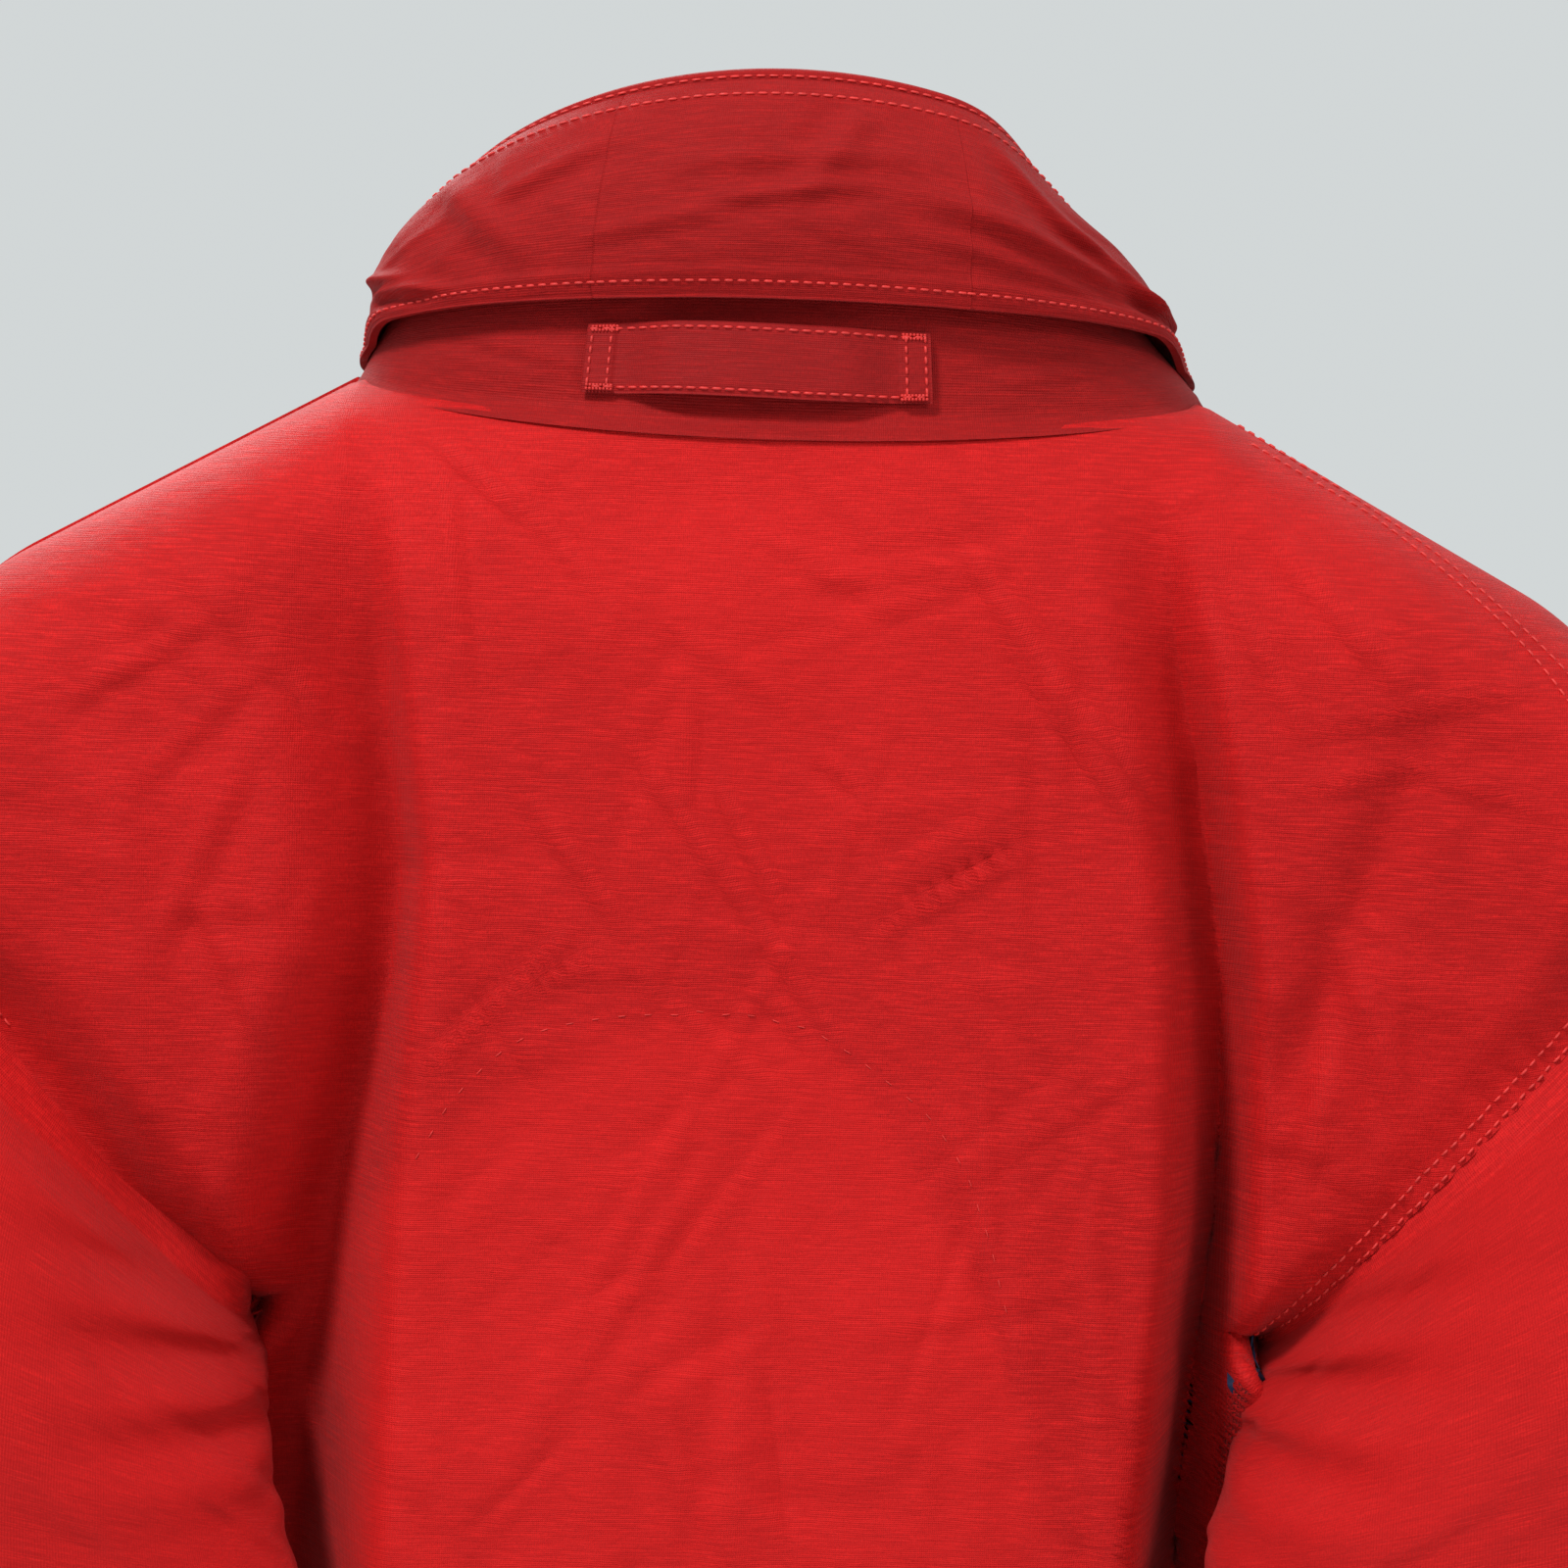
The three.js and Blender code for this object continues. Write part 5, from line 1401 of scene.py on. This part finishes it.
def make_pockets():
    """Each pocket is a bellows: a flat border that puffs to a raised face, with two stitched rows."""
    for name, side in SIDES:
        u = np.linspace(-1, 1, 90)[:, None]
        v = np.linspace(0, 1, 110)[None]
        corner = 1 - 0.02 * v**6 * np.abs(u) ** 6
        x = POCKET_HALF * u * corner
        z = -POCKET_HIGH * v * (1 - 0.015 * np.abs(u) ** 8)
        border = np.minimum(1 - np.abs(u), (1 - v) * 1.4)
        puff = smooth(0, 0.12, border)
        relief = 0.35 * swell(x, z, 81 + side, 60, 1.0)
        y = -2.0 - mix(1.0, POCKET_DEEP, puff) + relief * 0.7 * puff
        outer = on_front(side, np.stack([x, np.maximum(y, -2.0 - POCKET_DEEP), z], -1))
        y_inner = np.minimum(np.maximum(y, -2.0 - POCKET_DEEP) + 1.6, -2.05)
        inner = on_front(side, np.stack([x * 0.985, y_inner, z * 0.992], -1))
        item = shell(f"{name}_pocket_cloth", outer, 1.6, red_cloth, inner=inner)
        place(item, "torso", "red_cloth", [f"{name}_pocket"])
        for inset in (0.035, 0.1):
            row = np.linspace(-1 + inset, 1 - inset, 60)
            path = np.concatenate(
                [
                    np.stack(
                        [
                            np.full(60, (-1 + inset) * POCKET_HALF),
                            np.linspace(-8, -POCKET_HIGH * (1 - inset / 1.4), 60)
                        ],
                        -1
                    ),
                    np.stack([row * POCKET_HALF, np.full(60, -POCKET_HIGH * (1 - inset / 1.4))], -1),
                    np.stack(
                        [
                            np.full(60, (1 - inset) * POCKET_HALF),
                            np.linspace(-POCKET_HIGH * (1 - inset / 1.4), -8, 60)
                        ],
                        -1
                    ),
                ]
            )
            edge = np.minimum(1 - np.abs(path[:, 0]) / POCKET_HALF, (1 + path[:, 1] / POCKET_HIGH) * 1.4)
            y = -2.0 - mix(1.0, POCKET_DEEP, smooth(0, 0.12, edge)) - 0.15
            spots = on_front(side, np.stack([path[:, 0], y, path[:, 1]], -1))
            sew("torso", spots, np.tile([0, -1.0, 0], (len(spots), 1)))
        make_pocket_flap(name, side)


def make_pocket_flap(name, side):
    """The pocket flap: sewn above the mouth, over the pocket's face, with rounded lower corners and a
    stitched border."""
    half = POCKET_HALF + 4
    drop = np.array(
        [14.0, 12.5, 10, 7, 4, 1.5, -0.5, -3, -8, -16, -26, -36, -44, -50, -55, -59, -62, -63.5, -64.0]
    )
    out = np.interp(-drop, [-14, -11, 0, 3, 70], [2.6, 4.8, 22.9, 23.8, 23.8])
    u = np.linspace(-1, 1, 96)[:, None]
    z = drop[None] + 0 * u
    rounded = 1 - 0.10 * smooth(-46, -64, z) ** 2
    x = half * u * rounded
    z = z + 6.0 * smooth(0.86, 1.0, np.abs(u)) * smooth(-40, -64, z)
    bow = 0.25 * np.cos(u * math.pi / 2) * smooth(0, -30, z)
    outer = on_front(side, np.stack([x, -out[None] + bow, z], -1))
    inner = on_front(side, np.stack([x * 0.997, -out[None] + 2.0 + bow, z], -1))
    item = shell(f"{name}_pocket_flap_cloth", outer, 2.0, red_cloth, inner=inner)
    place(item, f"{name}_pocket_flap", "red_cloth", [f"{name}_pocket_flap"])
    for inset in (3.0, 8.5):
        top_run = np.linspace(-4, -POCKET_FLAP_HIGH + inset + 7, 50)
        side_x = half - inset - 1.5
        foot = np.linspace(side_x - 4, -side_x + 4, 70)
        path = np.concatenate(
            [
                np.stack([np.full(50, side_x), top_run], -1),
                np.stack([foot, np.full(70, -POCKET_FLAP_HIGH + inset)], -1),
                np.stack([np.full(50, -side_x), top_run[::-1]], -1),
            ]
        )
        bow_at = 0.25 * np.cos(path[:, 0] / half * math.pi / 2) * smooth(0, -30, path[:, 1])
        y = -np.interp(-path[:, 1], [-14, -11, 0, 3, 70], [2.6, 4.8, 22.9, 23.8, 23.8]) + bow_at - 0.12
        spots = on_front(side, np.stack([path[:, 0], y, path[:, 1]], -1))
        sew(f"{name}_pocket_flap", spots, np.tile([0, -1.0, 0], (len(spots), 1)))
    out_way = on_front(side, np.array([[0, -1.0, 0]])) - on_front(side, np.array([[0, 0.0, 0]]))
    snap = [(0, 1.5), (2.2, 1.45), (3.0, 1.75), (5.6, 1.6), (6.9, 1.1), (7.5, 0.4), (7.45, 0.0), (0, 0)]
    stud = [(0, 2.9), (2.4, 2.9), (2.6, 2.5), (2.3, 1.6), (2.5, 0.9), (4.7, 0.7), (5.0, 0.0), (0, 0)]
    level = -POCKET_FLAP_HIGH + 16
    spot = on_front(side, np.array([[0, -24.25, level]]))[0]
    item = lathe(f"{name}_pocket_snap_cap_metal", snap, spot, out_way[0], plate_metal)
    place(item, f"{name}_pocket_flap", "plate_metal", [f"{name}_pocket_snap_cap"])
    spot = on_front(side, np.array([[0, -18.4, level]]))[0]
    item = lathe(f"{name}_pocket_snap_stud_metal", stud, spot, out_way[0], plate_metal, 30)
    place(item, "torso", "plate_metal", [f"{name}_pocket_snap_stud"])


def make_eyelets():
    """The two hem eyelets are turned rings on the front's slope."""
    ring = [(2.8, 0.0), (5.5, 0.0), (5.4, 0.45), (4.6, 0.78), (3.6, 0.78), (2.9, 0.4), (2.8, 0.0)]
    for name, side in SIDES:
        turn = side * math.atan(FRONT_SLOPE)
        way = (math.sin(turn), -math.cos(turn), 0)
        low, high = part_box(f"{name}_hem_eyelet")
        spot = [(low[k] + high[k]) * 500 for k in range(3)]
        spot = [spot[k] - 0.4 * way[k] for k in range(3)]
        item = lathe(f"{name}_eyelet_metal", ring, spot, way, plate_metal, 48)
        place(item, "torso", "plate_metal", [f"{name}_hem_eyelet"])


# ---- light, floor and camera ----
def area_light(name, spot, target, size, power, colour=(1, 1, 1)):
    """A square light at a spot, aimed at a target."""
    light = bpy.data.lights.new(name, "AREA")
    light.shape = "DISK"
    light.size = size
    light.energy = power
    light.color = colour
    item = bpy.data.objects.new(name, light)
    bpy.context.scene.collection.objects.link(item)
    way = np.array(target, float) - spot
    turn = Vector(way).to_track_quat("-Z", "Y")
    item.matrix_world = Matrix.Translation(Vector(spot)) @ turn.to_matrix().to_4x4()


def make_studio():
    """The pale floor, the soft lights and the camera, which looks at the back from a little over a metre."""
    scene = bpy.context.scene
    scene.view_settings.view_transform = "Standard"
    world = bpy.data.worlds.new("pale studio")
    world.use_nodes = True
    sky = world.node_tree.nodes["Background"]
    sky.inputs["Color"].default_value = (0.70, 0.735, 0.74, 1)
    sky.inputs["Strength"].default_value = 0.92
    scene.world = world
    area_light("key", (0.9, 1.35, 1.5), (0, 0, -0.15), 0.5, 46)
    area_light("right fill", (-1.3, 1.5, 0.9), (0, 0, -0.2), 0.7, 12)
    area_light("front key", (0.9, -2.0, 1.5), (0, 0, -0.4), 1.6, 40)

    floor = bpy.data.meshes.new("floor")
    corners = [(x * FLOOR_HALF, y * FLOOR_HALF, FLOOR_Z) for x, y in ((-1, -1), (1, -1), (1, 1), (-1, 1))]
    floor.from_pydata(corners, [], [(0, 1, 2, 3)])
    item = bpy.data.objects.new("floor", floor)
    scene.collection.objects.link(item)
    pale, _, _, shader = tree("pale floor")
    shader.inputs["Base Color"].default_value = (0.72, 0.73, 0.74, 1)
    shader.inputs["Roughness"].default_value = 0.8
    floor.materials.append(pale)

    camera = bpy.data.cameras.new("camera")
    camera.lens = CAMERA_LENS
    camera.sensor_width = 36
    camera.clip_start = 0.01
    item = bpy.data.objects.new("camera", camera)
    scene.collection.objects.link(item)
    roll = math.radians(CAMERA_ROLL)
    turn = Matrix.Rotation(math.pi, 4, "Z") @ Matrix.Rotation(math.pi / 2, 4, "X") @ Matrix.Rotation(roll, 4, "Z")
    item.matrix_world = Matrix.Translation(CAMERA_SPOT) @ turn
    scene.camera = item


make_studio()
make_back()
make_fronts()
make_side_seams()
make_hem()
make_sleeves()
make_collar()
make_cover()
make_hood()
make_loop()
make_seams()
make_zip()
make_flaps()
make_pockets()
make_eyelets()
thread_pieces()
